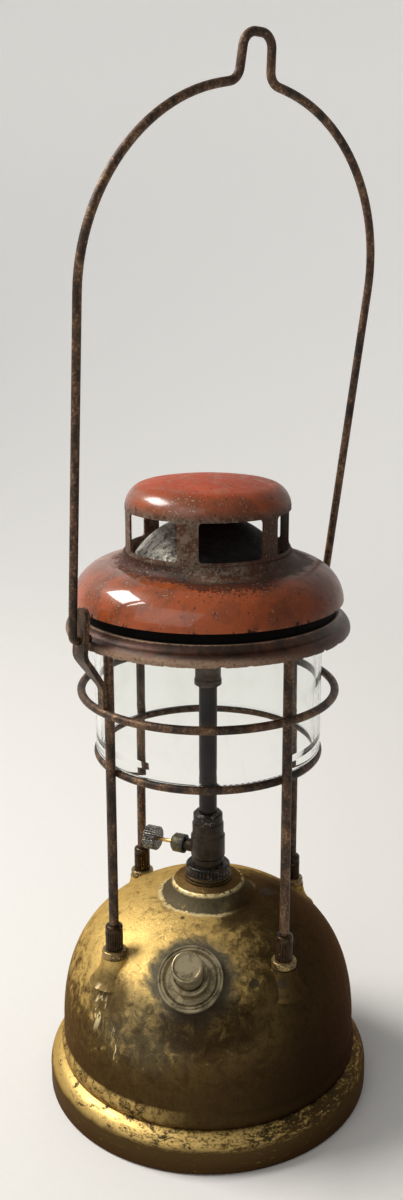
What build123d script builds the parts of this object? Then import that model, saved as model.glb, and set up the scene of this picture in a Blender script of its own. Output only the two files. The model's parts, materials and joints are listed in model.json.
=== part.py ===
from build123d import *
import os
from math import acos, asin, atan2, cos, degrees, hypot, radians, sin, sqrt, tan

# Paraffin pressure lantern: a beaded brass tank on a flared base, four struts that carry
# two wire rings, a glass and a flared rim, an enamelled hood with a vented cap and the
# burner inside it, a control cock under a central vaporiser, a pump in the filler cap,
# and a wire bail.
# Millimetres. Origin: centre of the base's underside. +Z up, pump towards -Y.

# ---------------------------------------------------------------- clearances
solder_gap = 0.05        # between pieces that are soldered, screwed or pressed together
running_gap = 0.08       # radial, shaft in hole
slip_gap = 0.35          # radial, where one body slides past another
dome_precision = 1e-7    # of the way along the dome's curve

# ---------------------------------------------------------------- tank and base
base_edge_r = 1.5        # rolled bottom edge
base_wall = 1.1
base_side_h = 9.0        # height of the base's upright side
base_round_in = 0.27     # where the base's shoulder bulges: share of its width and height
base_round_up = 0.64
seam_z = 19.4            # crease where the tank stands on the base
tank_r = 77.0
base_flange = 7.6        # the base stands this far out from the tank
tank_wall = 0.9
bead_h = 9.2             # rolled bead above the crease
bead_bulge = 1.5
shoulder_z = 35.2        # the side starts to turn in here
crown_z = 106.4          # top of the dome, under the raised platform
side_fullness = 0.87     # how far the side runs up before it turns in
crown_fullness = 0.44    # how far the crown runs out before it turns down
dish_h = 4.5             # the bottom plate is dished upwards
platform_rise = 6.3      # raised round platform on the crown, under the cock
platform_r = 18.6
platform_foot_r = 24.8
platform_drop = 0.7      # its top falls away this much to its edge
platform_edge_r = 1.2
platform_hollow = 0.8    # how far its flank is drawn in

# ---------------------------------------------------------------- struts and rings
strut_count = 4
strut_first_deg = 45.0
strut_circle_r = 59.6
strut_r = 2.4
pad_rise = 2.3           # a raised pad under each strut, above the dome
pad_r = 6.6
pad_flare_r = 17.0       # a pad flares out to meet the dome
pad_depth = 13.0
collar_r = 6.2
collar_h = 3.8
ferrule_r = 4.35
ferrule_h = 13.4
ferrule_cap_h = 3.2      # smooth rounded band above the knurl
ferrule_knurls = 22
knurl_depth = 0.35
ring_wire_r = 2.05
lower_ring_z = 185.9
lower_ring_r = 55.6      # inside the struts, the glass stands on it
upper_ring_z = 218.4
upper_ring_r = 63.4      # outside the struts

# ---------------------------------------------------------------- rim
rim_top_z = 259.2
rim_top_r = 64.6
rim_lip_h = 2.5          # the inner flange lies this far below the lip
rim_wall = 1.1
rim_waist_drop = 4.0     # concave above, convex below
rim_waist_r = 67.4
rim_edge_drop = 9.1
rim_edge_r = 70.2
rim_hollow_in = 0.27     # where the rim's hollow and its bulge lie: shares of width and height
rim_hollow_up = 0.35
rim_bulge_in = 0.2
rim_bulge_up = 0.62
tenon_r = 1.5            # the strut's top passes through the flange and is peened over
peen_r = 2.2
peen_h = 1.2

# ---------------------------------------------------------------- glass
glass_r = 56.6
glass_wall = 2.4
glass_foot_wall = 3.6    # thicker fire-polished foot
glass_foot_h = 4.0
glass_h = 82.0

# ---------------------------------------------------------------- hood and burner
hood_edge_gap = 5.6      # between the rim's lip and the hood's edge
hood_edge_r = 66.8
hood_wall = 0.9
hood_round_r = 19.4      # round of the bell's shoulder
hood_edge_rise = 1.2     # the edge lies this far above the round's centre
neck_r = 5.0             # fillet between shoulder and cap
neck_top_rise = 23.8     # above the hood's edge
cap_r = 40.4
cap_rise = 35.6          # above the neck
cap_knuckle_r = 11.0
cap_crown_r = 175.0
cap_overlap = 4.5        # the cap's wall inside the bell's neck
window_count = 6
window_first_deg = 53.0
window_deg = 45.5
window_sill_h = 1.8      # above the neck
window_h = 18.8
window_head_h = 0.6      # the cap's lid starts this far above the windows
window_corner_r = 2.0
skirt_wall = 0.9         # the hood's inner skirt stands inside the rim's lip
skirt_end_deg = 55.0     # how far the skirt follows the bell's round
weld_gap = 0.15          # the skirt's bed inside the curved bell
cowl_r = 35.5
cowl_edge_drop = 1.4     # below the neck's top
cowl_rise = 18.6
cowl_wall = 0.8
cowl_tab_w = 7.0
cowl_tab_count = 3
chamber_r = 20.0
chamber_drop = 2.8       # the mixing chamber's floor below the hood's edge
chamber_h = 21.0
chamber_wall = 0.9
chamber_round_r = 6.0
stem_r = 2.5             # hangs the burner from the cowl
stem_nut_af = 8.0
stem_nut_h = 3.0
air_tube_r = 4.2
air_tube_wall = 0.7
air_tube_h = 11.0        # above the chamber's floor
air_tube_reach = 46.0
nozzle_wall = 0.9
nozzle_h = 42.9          # below the mixing chamber's floor
nozzle_lip_r = 6.9       # lip that the mantle is tied on
nozzle_lip_h = 3.2

# ---------------------------------------------------------------- vaporiser and cock
vaporiser_r = 4.6
vaporiser_bore_r = 3.1
vaporiser_reach = 2.0    # above the mixing chamber's floor
vaporiser_gap = 1.0      # annular gas passage inside the burner nozzle
jet_h = 5.5
jet_tip_r = 2.2
jet_collar_h = 2.2
jet_cone_h = 1.7
jet_hole_r = 0.4
jet_hole_h = 2.5
union_r = 7.6
union_h = 5.4
cock_neck_r = 8.15
cock_neck_h = 7.8
cock_waist_r = 8.1
cock_belly_r = 8.85
cock_belly_rise = 11.9   # from the boss's top to the belly's foot
cock_belly_h = 10.8
cock_bore_r = 4.4
cock_step = 1.1          # height of the slopes at the belly's ends
union_thread_r = 5.95
union_thread_h = 4.7
spigot_r = 7.6
spigot_h = 9.6
plug_h = 5.8             # solid foot of the spigot, bored for the suction tube
boss_flange_h = 1.4
boss_r = 12.3
boss_bush_r = 9.6
boss_bush_h = 6.0
washer_r = 11.4
washer_h = 0.4
flange_ring_r = 12.0
flange_ring_h = 1.4
thin_washer_r = 11.2
thin_washer_h = 0.4
locknut_r = 11.4
locknut_h = 4.9
locknut_knurls = 36
valve_deg = 162.5        # where the spindle points, seen from above
valve_rise = 2.6         # above the belly's foot
valve_boss_r = 3.3
valve_boss_end = 13.0    # distances along the spindle, from the lantern's axis
gland_washer_h = 1.3
gland_r = 4.9
gland_h = 5.8
gland_bevel = 1.3
packing_r = 2.2
packing_h = 3.2
spindle_r = 1.0
spindle_thread_r = 1.5
knob_start = 28.6
knob_r = 6.25
knob_h = 7.1
knob_knurls = 30
crank_r = 2.0
crank_face = 1.5         # the crank disc, from the lantern's axis
crank_h = 1.0
crank_throw = 1.3        # the pin's distance from the spindle's axis
crank_pin_r = 0.6
crank_start_deg = -60.0  # the pin's angle at rest, below level
crank_gap = 0.2          # each side of the pin in the pricker's slot
pricker_foot_w = 6.0
pricker_foot_d = 2.2
pricker_foot_web = 0.7
needle_clear = 0.2       # between the needle's tip and the jet's hole at rest
pricker_r = 0.8
needle_r = 0.3
needle_h = 4.2
suction_r = 2.0
suction_wall = 0.5
filter_r = 3.6
filter_h = 6.0
filter_floor_gap = 1.8   # between the filter and the dished bottom

# ---------------------------------------------------------------- pump and filler
pump_inset = 17.0        # the filler cap's face, in from the tank's widest part
pump_rise = 3.8          # the cap's face above the dome
pump_deg = 48.0          # the pump's axis above level
pump_side = -1.8         # the filler sits a little to the left
filler_cap_r = 16.0
filler_cap_h = 3.0
filler_groove_r = 14.7
filler_groove_w = 0.8
filler_edge_bevel = 0.6
filler_dish_r = 13.6
filler_dish_depth = 1.4
filler_seal_h = 0.8
filler_boss_r = 15.0
filler_boss_depth = 9.0
filler_skirt_r = 10.9
filler_skirt_h = 7.5
barrel_r = 9.5
barrel_wall = 0.6
barrel_h = 66.0
foot_valve_h = 9.0
foot_valve_tip_r = 4.6
foot_valve_hole_r = 0.8
foot_valve_cone_h = 6.3
pump_collar_r = 9.4
pump_collar_h = 6.0
pump_collar_recess = 2.6
pump_knob_r = 7.45
pump_knob_waist_r = 6.9
pump_knob_top = 19.2
pump_knob_lip = 1.6
pump_knob_dish = 0.9
pump_rod_r = 2.4
leather_h = 5.0
leather_wall = 1.2
leather_gap = 0.2        # radial, leather in barrel
leather_rest = 59.0      # depth of the leather's mouth below the cap's face
plunger_washer_r = 6.4
plunger_washer_h = 1.0
plunger_nut_af = 7.0
plunger_nut_h = 2.6

# ---------------------------------------------------------------- bail and brackets
bracket_w = 9.6
bracket_foot_w = 4.6     # it narrows towards the strut
bracket_t = 2.4
bracket_foot_drop = 38.4  # heights below the rim's top
bracket_bend_drop = 28.2
bracket_knee_r = 75.2
bracket_knee_drop = 11.2
bracket_top_r = 72.9
bracket_top_rise = 12.2
bracket_bend_r = 7.0
pivot_drop = 3.2         # the bail's pivot below the rim's top
bail_wire_r = 2.0
bail_half = 78.9         # from the lantern's axis to the leg at the pivot
bail_end = 69.6
bail_foot_bend = 3.0
bail_arc_r = 84.8
bail_arc_z = 159.5       # centre of the big arc above the pivot
bail_lean_deg = 7.5      # the bail stands this far towards the front right
hump_half = 7.6
hump_top = 263.8
hump_bend = 6.4
hump_foot_half = 9.0


def upright(azimuth):
    """Plane through the lantern's axis: local x points outwards, local y is +Z."""
    a = radians(azimuth)
    return Plane(origin=(0, 0, 0), x_dir=(cos(a), sin(a), 0), z_dir=(sin(a), -cos(a), 0))


def save(piece, name):
    """Label one finished piece and write it."""
    piece.part.label = name
    export_step(piece.part, f"parts/{name}.step")


def knurled(plane, radius, start, height, count, depth=knurl_depth):
    """A solid cylinder with straight knurls, from start along the plane's normal."""
    with BuildPart() as body:
        with BuildSketch(plane.offset(start)):
            Circle(radius)
            with PolarLocations(radius, count):
                RegularPolygon(depth, 4, mode=Mode.SUBTRACT)
        extrude(amount=height)
    return body


os.makedirs("parts", exist_ok=True)

# ================================================================ tank
crown_rise = crown_z - shoulder_z


def dome_z(radius):
    """Height of the dome's outside at a distance from the axis."""
    low, high = 0.0, 1.0
    while high - low > dome_precision:
        along = (low + high) / 2
        back = 1 - along
        reach = tank_r * (back**3 + 3 * back**2 * along + 3 * crown_fullness * back * along**2)
        if reach > radius:
            low = along
        else:
            high = along
    rise = 3 * side_fullness * back**2 * along + 3 * back * along**2 + along**3
    return shoulder_z + crown_rise * rise


base_r = tank_r + base_flange
pad_top_z = dome_z(strut_circle_r) + pad_rise
pump_r = tank_r - pump_inset
platform_z = crown_z + platform_rise


def tank_form(inset, floor_z):
    """The tank's solid form, drawn in by inset, down to floor_z."""
    side = tank_r - inset
    top = crown_z - inset
    with BuildPart() as form:
        with BuildSketch(Plane.XZ):
            with BuildLine():
                Line((0, floor_z), (side, floor_z))
                Line((side, floor_z), (side, shoulder_z))
                Bezier(
                    (side, shoulder_z),
                    (side, shoulder_z + side_fullness * crown_rise),
                    (crown_fullness * side, top),
                    (0, top),
                )
                Line((0, top), (0, floor_z))
            make_face()
        revolve(axis=Axis.Z)
    return form


def platform_form(inset):
    """The raised platform's solid form on the crown, drawn in and down by inset."""
    top = platform_z - inset
    edge = (platform_r - inset, top - platform_drop - platform_edge_r / 2)
    foot = (platform_foot_r - inset, dome_z(platform_foot_r) - inset - tank_wall / 4)
    with BuildPart() as form:
        with BuildSketch(Plane.XZ):
            with BuildLine():
                Line((0, foot[1]), foot)
                SagittaArc(foot, edge, platform_hollow)
                SagittaArc(edge, (edge[0] - platform_edge_r, top - platform_drop), -platform_edge_r / 5)
                Line((edge[0] - platform_edge_r, top - platform_drop), (boss_r + slip_gap, top))
                Line((boss_r + slip_gap, top), (0, top))
                Line((0, top), (0, foot[1]))
            make_face()
        revolve(axis=Axis.Z)
    return form


tank_outside = tank_form(0, seam_z)
tank_inside = tank_form(tank_wall, seam_z)
platform_outside = platform_form(0)
platform_inside = platform_form(tank_wall)
pump_axis = radians(pump_deg)
pump_plane = Plane(
    origin=(pump_side, -pump_r, dome_z(pump_r) + pump_rise),
    x_dir=(1, 0, 0),
    z_dir=(0, -cos(pump_axis), sin(pump_axis)),
)
pump_section = Plane(origin=pump_plane.origin, x_dir=(1, 0, 0), z_dir=-pump_plane.y_dir)
pump_line = Axis(pump_plane.origin, pump_plane.z_dir)
filler_bore_r = filler_skirt_r + slip_gap
pad_flare_deg = degrees(asin(pad_depth / pad_flare_r))

with BuildPart() as one_pad:
    with BuildSketch(Plane.XZ):
        with BuildLine():
            flare = CenterArc((pad_r + pad_flare_r, pad_top_z), pad_flare_r, 180, pad_flare_deg)
            Polyline(flare @ 1, (0, pad_top_z - pad_depth), (0, pad_top_z), flare @ 0)
        make_face()
    revolve(axis=Axis.Z)

with BuildPart() as tank_shell:
    add(tank_outside.part)
    add(platform_outside.part)
    # half-round bead above the seam
    with BuildSketch(Plane.XZ):
        with BuildLine():
            ThreePointArc(
                (tank_r, seam_z),
                (tank_r + bead_bulge, seam_z + bead_h / 2),
                (tank_r, seam_z + bead_h),
            )
            Polyline(
                (tank_r, seam_z + bead_h),
                (tank_r - tank_wall, seam_z + bead_h),
                (tank_r - tank_wall, seam_z),
                (tank_r, seam_z),
            )
        make_face()
    revolve(axis=Axis.Z)
    # raised pads for the struts
    with PolarLocations(strut_circle_r, strut_count, start_angle=strut_first_deg):
        add(one_pad.part)
    add(tank_inside.part, mode=Mode.SUBTRACT)
    add(platform_inside.part, mode=Mode.SUBTRACT)
    # mouth for the cock
    with BuildSketch(Plane.XY.offset(platform_z)):
        Circle(boss_bush_r + solder_gap)
    extrude(amount=-2 * platform_rise, mode=Mode.SUBTRACT)
    # mouth for the filler boss
    with BuildSketch(pump_plane):
        Circle(filler_boss_r + solder_gap)
    extrude(amount=2 * filler_boss_depth, both=True, mode=Mode.SUBTRACT)
save(tank_shell, "tank_shell")

plate_r = tank_r - tank_wall - solder_gap
dish_r = plate_r - 6 * tank_wall
dish_top_z = seam_z + dish_h + tank_wall
dish_round_r = (dish_r**2 + dish_h**2) / (2 * dish_h)
dish_centre = (0, seam_z + dish_h - dish_round_r)
under_deg = degrees(asin(dish_r / dish_round_r))
over_deg = degrees(asin(dish_r / (dish_round_r + tank_wall)))

with BuildPart() as tank_bottom:
    with BuildSketch(Plane.XZ):
        with BuildLine():
            under = CenterArc(dish_centre, dish_round_r, 90 - under_deg, under_deg)
            over = CenterArc(dish_centre, dish_round_r + tank_wall, 90 - over_deg, over_deg)
            Polyline(under @ 0, (plate_r, seam_z), (plate_r, seam_z + tank_wall), over @ 0)
            Line(under @ 1, over @ 1)
        make_face()
    revolve(axis=Axis.Z)
save(tank_bottom, "tank_bottom")

# the base is one pressing: rolled edge, upright side, round shoulder and a flat seat
with BuildPart() as base_skirt:
    seat_outer_r = tank_r + bead_bulge / 2
    seat_inner_r = tank_r - 8 * tank_wall
    inner_side_r = base_r - base_wall
    with BuildSketch(Plane.XZ):
        with BuildLine():
            Line((seat_inner_r, seam_z), (seat_outer_r, seam_z))
            ThreePointArc(
                (seat_outer_r, seam_z),
                (
                    base_r - base_round_in * (base_r - seat_outer_r),
                    base_side_h + base_round_up * (seam_z - base_side_h),
                ),
                (base_r, base_side_h),
            )
            Line((base_r, base_side_h), (base_r, base_edge_r))
            RadiusArc((base_r, base_edge_r), (base_r - base_edge_r, 0), base_edge_r)
            Line((base_r - base_edge_r, 0), (base_r - 2 * base_edge_r, 0))
            Line((base_r - 2 * base_edge_r, 0), (base_r - 2 * base_edge_r, base_edge_r))
            Line((base_r - 2 * base_edge_r, base_edge_r), (inner_side_r, base_edge_r + base_wall))
            Line((inner_side_r, base_edge_r + base_wall), (inner_side_r, base_side_h))
            ThreePointArc(
                (inner_side_r, base_side_h),
                (
                    inner_side_r - base_round_in * (inner_side_r - seat_outer_r + base_wall / 2),
                    base_side_h + base_round_up * (seam_z - base_wall - base_side_h),
                ),
                (seat_outer_r - base_wall / 2, seam_z - base_wall),
            )
            Line((seat_outer_r - base_wall / 2, seam_z - base_wall), (seat_inner_r, seam_z - base_wall))
            Line((seat_inner_r, seam_z - base_wall), (seat_inner_r, seam_z))
        make_face()
    revolve(axis=Axis.Z)
save(base_skirt, "base_skirt")

# ================================================================ wire rings and rim
with BuildPart() as lower_glass_ring:
    with BuildSketch(Plane.XZ):
        with Locations((lower_ring_r, lower_ring_z)):
            Circle(ring_wire_r)
    revolve(axis=Axis.Z)
save(lower_glass_ring, "lower_glass_ring")

with BuildPart() as upper_guard_ring:
    with BuildSketch(Plane.XZ):
        with Locations((upper_ring_r, upper_ring_z)):
            Circle(ring_wire_r)
    revolve(axis=Axis.Z)
save(upper_guard_ring, "upper_guard_ring")

rim_waist_z = rim_top_z - rim_waist_drop
rim_edge_z = rim_top_z - rim_edge_drop
rim_flange_top = rim_top_z - rim_lip_h
rim_flange_bottom = rim_flange_top - rim_wall
rim_inner_r = glass_r + slip_gap + 2 * running_gap

with BuildPart() as top_rim:
    with BuildSketch(Plane.XZ):
        with BuildLine():
            Line((rim_inner_r, rim_flange_bottom), (rim_inner_r, rim_flange_top))
            Line((rim_inner_r, rim_flange_top), (rim_top_r - rim_wall, rim_flange_top))
            Line((rim_top_r - rim_wall, rim_flange_top), (rim_top_r - rim_wall, rim_top_z))
            Line((rim_top_r - rim_wall, rim_top_z), (rim_top_r, rim_top_z))
            ThreePointArc(
                (rim_top_r, rim_top_z),
                (
                    rim_top_r + rim_hollow_in * (rim_waist_r - rim_top_r),
                    rim_waist_z + rim_hollow_up * (rim_top_z - rim_waist_z),
                ),
                (rim_waist_r, rim_waist_z),
            )
            ThreePointArc(
                (rim_waist_r, rim_waist_z),
                (
                    rim_edge_r - rim_bulge_in * (rim_edge_r - rim_waist_r),
                    rim_edge_z + rim_bulge_up * (rim_waist_z - rim_edge_z),
                ),
                (rim_edge_r, rim_edge_z),
            )
            Line((rim_edge_r, rim_edge_z), (rim_edge_r - rim_wall, rim_edge_z))
            ThreePointArc(
                (rim_edge_r - rim_wall, rim_edge_z),
                (
                    rim_edge_r - rim_wall - rim_bulge_in * (rim_edge_r - rim_waist_r),
                    rim_edge_z + rim_bulge_up * (rim_waist_z - rim_wall - rim_edge_z),
                ),
                (rim_waist_r - rim_wall, rim_waist_z - rim_wall),
            )
            Line((rim_waist_r - rim_wall, rim_waist_z - rim_wall), (rim_top_r - rim_wall, rim_flange_bottom))
            Line((rim_top_r - rim_wall, rim_flange_bottom), (rim_inner_r, rim_flange_bottom))
        make_face()
    revolve(axis=Axis.Z)
    with BuildSketch(Plane.XY.offset(rim_flange_top)):
        with PolarLocations(strut_circle_r, strut_count, start_angle=strut_first_deg):
            Circle(tenon_r + solder_gap)
    extrude(amount=-2 * rim_wall, mode=Mode.SUBTRACT)
save(top_rim, "top_rim")

# ================================================================ struts
collar_top_z = pad_top_z + collar_h
ferrule_top_z = collar_top_z + ferrule_h
strut_foot_z = collar_top_z + ferrule_h / 4

with BuildPart() as one_collar:
    with BuildSketch(Plane.XY.offset(pad_top_z)):
        Circle(collar_r)
    extrude(amount=collar_h)
    fillet(one_collar.faces().sort_by(Axis.Z)[-1].edges(), radius=collar_h / 4)
    chamfer(one_collar.faces().sort_by(Axis.Z)[0].edges(), length=collar_h / 8)

with BuildPart() as strut_collars:
    with PolarLocations(strut_circle_r, strut_count, start_angle=strut_first_deg):
        add(one_collar.part)
    # bedded on the dome
    add(tank_outside.part, mode=Mode.SUBTRACT)
save(strut_collars, "strut_collars")

ferrule_grip = knurled(Plane.XY, ferrule_r, collar_top_z, ferrule_h - ferrule_cap_h, ferrule_knurls)

with BuildPart() as one_ferrule:
    add(ferrule_grip.part)
    with BuildSketch(Plane.XY.offset(ferrule_top_z - ferrule_cap_h)):
        Circle(ferrule_r)
    extrude(amount=ferrule_cap_h)
    fillet(one_ferrule.faces().sort_by(Axis.Z)[-1].edges(), radius=ferrule_cap_h / 2)
    with BuildSketch(Plane.XY.offset(ferrule_top_z)):
        Circle(strut_r + solder_gap)
    extrude(amount=strut_foot_z - ferrule_top_z, mode=Mode.SUBTRACT)

with BuildPart() as strut_ferrules:
    with PolarLocations(strut_circle_r, strut_count, start_angle=strut_first_deg):
        add(one_ferrule.part)
save(strut_ferrules, "strut_ferrules")

strut_places = {
    "strut_front_left": strut_first_deg + 180,
    "strut_front_right": strut_first_deg - 90,
    "strut_rear_left": strut_first_deg + 90,
    "strut_rear_right": strut_first_deg,
}
for strut_name, azimuth in strut_places.items():
    foot = (strut_circle_r * cos(radians(azimuth)), strut_circle_r * sin(radians(azimuth)))
    with BuildPart() as strut:
        with BuildSketch(Plane.XY.offset(strut_foot_z)):
            with Locations(foot):
                Circle(strut_r)
        extrude(amount=rim_flange_bottom - strut_foot_z)
        with BuildSketch(Plane.XY.offset(rim_flange_bottom)):
            with Locations(foot):
                Circle(tenon_r)
        extrude(amount=rim_wall)
        with BuildSketch(Plane.XY.offset(rim_flange_top)):
            with Locations(foot):
                Circle(peen_r)
        extrude(amount=peen_h)
        fillet(strut.faces().sort_by(Axis.Z)[-1].edges(), radius=peen_h / 2)
        # saddles where the rings are brazed on
        add(lower_glass_ring.part, mode=Mode.SUBTRACT)
        add(upper_guard_ring.part, mode=Mode.SUBTRACT)
    save(strut, strut_name)

# ================================================================ bail and its brackets
bracket_face_r = strut_circle_r + strut_r + solder_gap + bracket_t / 2
bracket_foot_z = rim_top_z - bracket_foot_drop
bracket_bend_z = rim_top_z - bracket_bend_drop
bracket_knee_z = rim_top_z - bracket_knee_drop
bracket_top_z = rim_top_z + bracket_top_rise
pivot_z = rim_top_z - pivot_drop
bail_left_deg = strut_places["strut_front_left"]
bail_right_deg = strut_places["strut_rear_right"]

for bracket_name, azimuth in (("bail_bracket_left", bail_left_deg), ("bail_bracket_right", bail_right_deg)):
    plane = upright(azimuth)
    with BuildPart() as bracket:
        with BuildLine(plane) as strip_line:
            FilletPolyline(
                (bracket_face_r, bracket_foot_z),
                (bracket_face_r, bracket_bend_z),
                (bracket_knee_r, bracket_knee_z),
                (bracket_top_r, bracket_top_z),
                radius=bracket_bend_r,
            )
        with BuildSketch(Plane(origin=strip_line.line @ 0, x_dir=plane.z_dir, z_dir=strip_line.line % 0)):
            Rectangle(bracket_w, bracket_t)
        sweep(path=strip_line.line)
        # outline seen from outside: narrow at the strut, round at the top
        with BuildSketch(Plane(origin=(0, 0, 0), x_dir=-plane.z_dir, z_dir=plane.x_dir)):
            with BuildLine():
                Polyline(
                    (-bracket_w / 2, bracket_top_z - bracket_w / 2),
                    (-bracket_w / 2, bracket_knee_z - bracket_w / 2),
                    (-bracket_foot_w / 2, bracket_bend_z),
                    (-bracket_foot_w / 2, bracket_foot_z - bracket_t),
                    (bracket_foot_w / 2, bracket_foot_z - bracket_t),
                    (bracket_foot_w / 2, bracket_bend_z),
                    (bracket_w / 2, bracket_knee_z - bracket_w / 2),
                    (bracket_w / 2, bracket_top_z - bracket_w / 2),
                )
                ThreePointArc(
                    (bracket_w / 2, bracket_top_z - bracket_w / 2),
                    (0, bracket_top_z - bracket_t / 8),
                    (-bracket_w / 2, bracket_top_z - bracket_w / 2),
                )
            make_face()
        extrude(amount=bail_half, mode=Mode.INTERSECT)
        with BuildSketch(Plane(origin=(0, 0, pivot_z), x_dir=plane.z_dir, z_dir=plane.x_dir)):
            Circle(bail_wire_r + running_gap)
        extrude(amount=bail_half, mode=Mode.SUBTRACT)
    save(bracket, bracket_name)

bail_lean = radians(bail_lean_deg)
pivot_plane = upright(bail_left_deg)
bail_plane = Plane(
    origin=(0, 0, pivot_z),
    x_dir=pivot_plane.x_dir,
    z_dir=(
        cos(bail_lean) * pivot_plane.z_dir.X,
        cos(bail_lean) * pivot_plane.z_dir.Y,
        sin(bail_lean),
    ),
)
# the legs run up tangent to the big arc
arc_start = acos(bail_arc_r / hypot(bail_half, bail_arc_z)) - atan2(bail_arc_z, bail_half)
arc_end = acos(2 * hump_foot_half / bail_arc_r)

with BuildPart() as bail:
    with BuildLine(bail_plane) as bail_line:
        leg_top = (bail_arc_r * cos(arc_start), bail_arc_z + bail_arc_r * sin(arc_start))
        shoulder = (2 * hump_foot_half, bail_arc_z + bail_arc_r * sin(arc_end))
        FilletPolyline((bail_end, 0), (bail_half, 0), leg_top, radius=bail_foot_bend)
        CenterArc((0, bail_arc_z), bail_arc_r, degrees(arc_start), degrees(arc_end - arc_start))
        FilletPolyline(
            shoulder,
            (hump_foot_half, shoulder[1] + hump_foot_half / tan(arc_end)),
            (hump_half, hump_top),
            (0, hump_top),
            radius=hump_bend,
        )
    foot_start = bail_plane.from_local_coords((bail_end, 0, 0))
    with BuildSketch(Plane(origin=foot_start, x_dir=bail_plane.z_dir, z_dir=bail_plane.x_dir)):
        Circle(bail_wire_r)
    sweep(path=bail_line.wires()[0])
    mirror(about=Plane(origin=(0, 0, pivot_z), z_dir=bail_plane.x_dir))
save(bail, "bail")

# ================================================================ glass
glass_foot_z = lower_ring_z + ring_wire_r
glass_top_z = glass_foot_z + glass_h

with BuildPart() as glass:
    with BuildSketch(Plane.XZ) as glass_section:
        with BuildLine():
            Polyline(
                (glass_r, glass_foot_z),
                (glass_r - glass_foot_wall, glass_foot_z),
                (glass_r - glass_foot_wall, glass_foot_z + glass_foot_h),
                (glass_r - glass_wall, glass_foot_z + 2 * glass_foot_h),
                (glass_r - glass_wall, glass_top_z),
                (glass_r, glass_top_z),
                close=True,
            )
        make_face()
        fillet(glass_section.vertices(), radius=glass_wall / 2.4)
    revolve(axis=Axis.Z)
save(glass, "glass")

# ================================================================ hood
hood_edge_z = rim_top_z + hood_edge_gap
neck_top_z = hood_edge_z + neck_top_rise
cap_top_z = neck_top_z + cap_rise
window_sill_z = neck_top_z + window_sill_h
lid_z = window_sill_z + window_h + window_head_h
round_centre = (hood_edge_r - hood_round_r, hood_edge_z - hood_edge_rise)
neck_in_r = cap_r + solder_gap


def bell_line(inset):
    """Outside (inset 0) or inside line of the bell; returns its edge and neck ends."""
    reach = hood_round_r - inset
    edge_angle = degrees(asin(hood_edge_rise / reach))
    round_arc = CenterArc(round_centre, reach, edge_angle, 90 - edge_angle)
    neck_line = FilletPolyline(
        (round_centre[0], round_centre[1] + reach),
        (neck_in_r + hood_wall - inset, round_centre[1] + reach),
        (neck_in_r + hood_wall - inset, neck_top_z),
        radius=neck_r + inset,
    )
    return round_arc @ 0, neck_line @ 1


with BuildPart() as hood_bell:
    with BuildSketch(Plane.XZ):
        with BuildLine():
            outer_edge, outer_neck = bell_line(0)
            inner_edge, inner_neck = bell_line(hood_wall)
            Line(outer_edge, inner_edge)
            Line(outer_neck, inner_neck)
        make_face()
    revolve(axis=Axis.Z)
save(hood_bell, "hood_bell")

# one window's cutter: a wedge with rounded corners
half_window = radians(window_deg / 2)
reach = cap_r + neck_r
with BuildPart() as window:
    with BuildSketch(Plane.XY.offset(window_sill_z)):
        with BuildLine():
            Line((reach * cos(half_window), -reach * sin(half_window)), (0, 0))
            Line((0, 0), (reach * cos(half_window), reach * sin(half_window)))
            ThreePointArc(
                (reach * cos(half_window), reach * sin(half_window)),
                (reach, 0),
                (reach * cos(half_window), -reach * sin(half_window)),
            )
        make_face()
    extrude(amount=window_h)
    fillet(window.edges().filter_by(GeomType.LINE).filter_by(Plane.XY), radius=window_corner_r)


def lid_line(inset):
    """Outside or inside line of the cap's lid; returns its foot and its end on the axis."""
    crown_centre_z = cap_top_z - cap_crown_r
    knuckle_x = cap_r - cap_knuckle_r
    knuckle_z = crown_centre_z + sqrt((cap_crown_r - cap_knuckle_r) ** 2 - knuckle_x**2)
    crown_deg = degrees(asin(knuckle_x / (cap_crown_r - cap_knuckle_r)))
    foot = (cap_r - inset, lid_z)
    Line(foot, (cap_r - inset, knuckle_z))
    CenterArc((knuckle_x, knuckle_z), cap_knuckle_r - inset, 0, 90 - crown_deg)
    crown = CenterArc((0, crown_centre_z), cap_crown_r - inset, 90 - crown_deg, crown_deg)
    return foot, crown @ 1


with BuildPart() as chimney_cap:
    with BuildSketch(Plane.XZ):
        with BuildLine():
            outer_foot, outer_crown = lid_line(0)
            inner_foot, inner_crown = lid_line(hood_wall)
            Line(outer_foot, inner_foot)
            Line(outer_crown, inner_crown)
        make_face()
    revolve(axis=Axis.Z)
save(chimney_cap, "chimney_cap")

# the wall under the lid, with its windows
with BuildPart() as chimney_wall:
    with BuildSketch(Plane.XY.offset(neck_top_z - cap_overlap)):
        Circle(cap_r)
        Circle(cap_r - hood_wall, mode=Mode.SUBTRACT)
    extrude(amount=lid_z - neck_top_z + cap_overlap)
    with PolarLocations(0, window_count, start_angle=window_first_deg):
        add(window.part, mode=Mode.SUBTRACT)
save(chimney_wall, "chimney_wall")

# the inner cowl hangs the burner and sheds the draught; its tabs sit below the windows
cowl_edge_z = neck_top_z - cowl_edge_drop
cowl_round_r = (cowl_r**2 + cowl_rise**2) / (2 * cowl_rise)
cowl_centre = (0, cowl_edge_z + cowl_rise - cowl_round_r)
cowl_top_z = cowl_edge_z + cowl_rise
tab_end = cap_r - hood_wall - solder_gap

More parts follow.
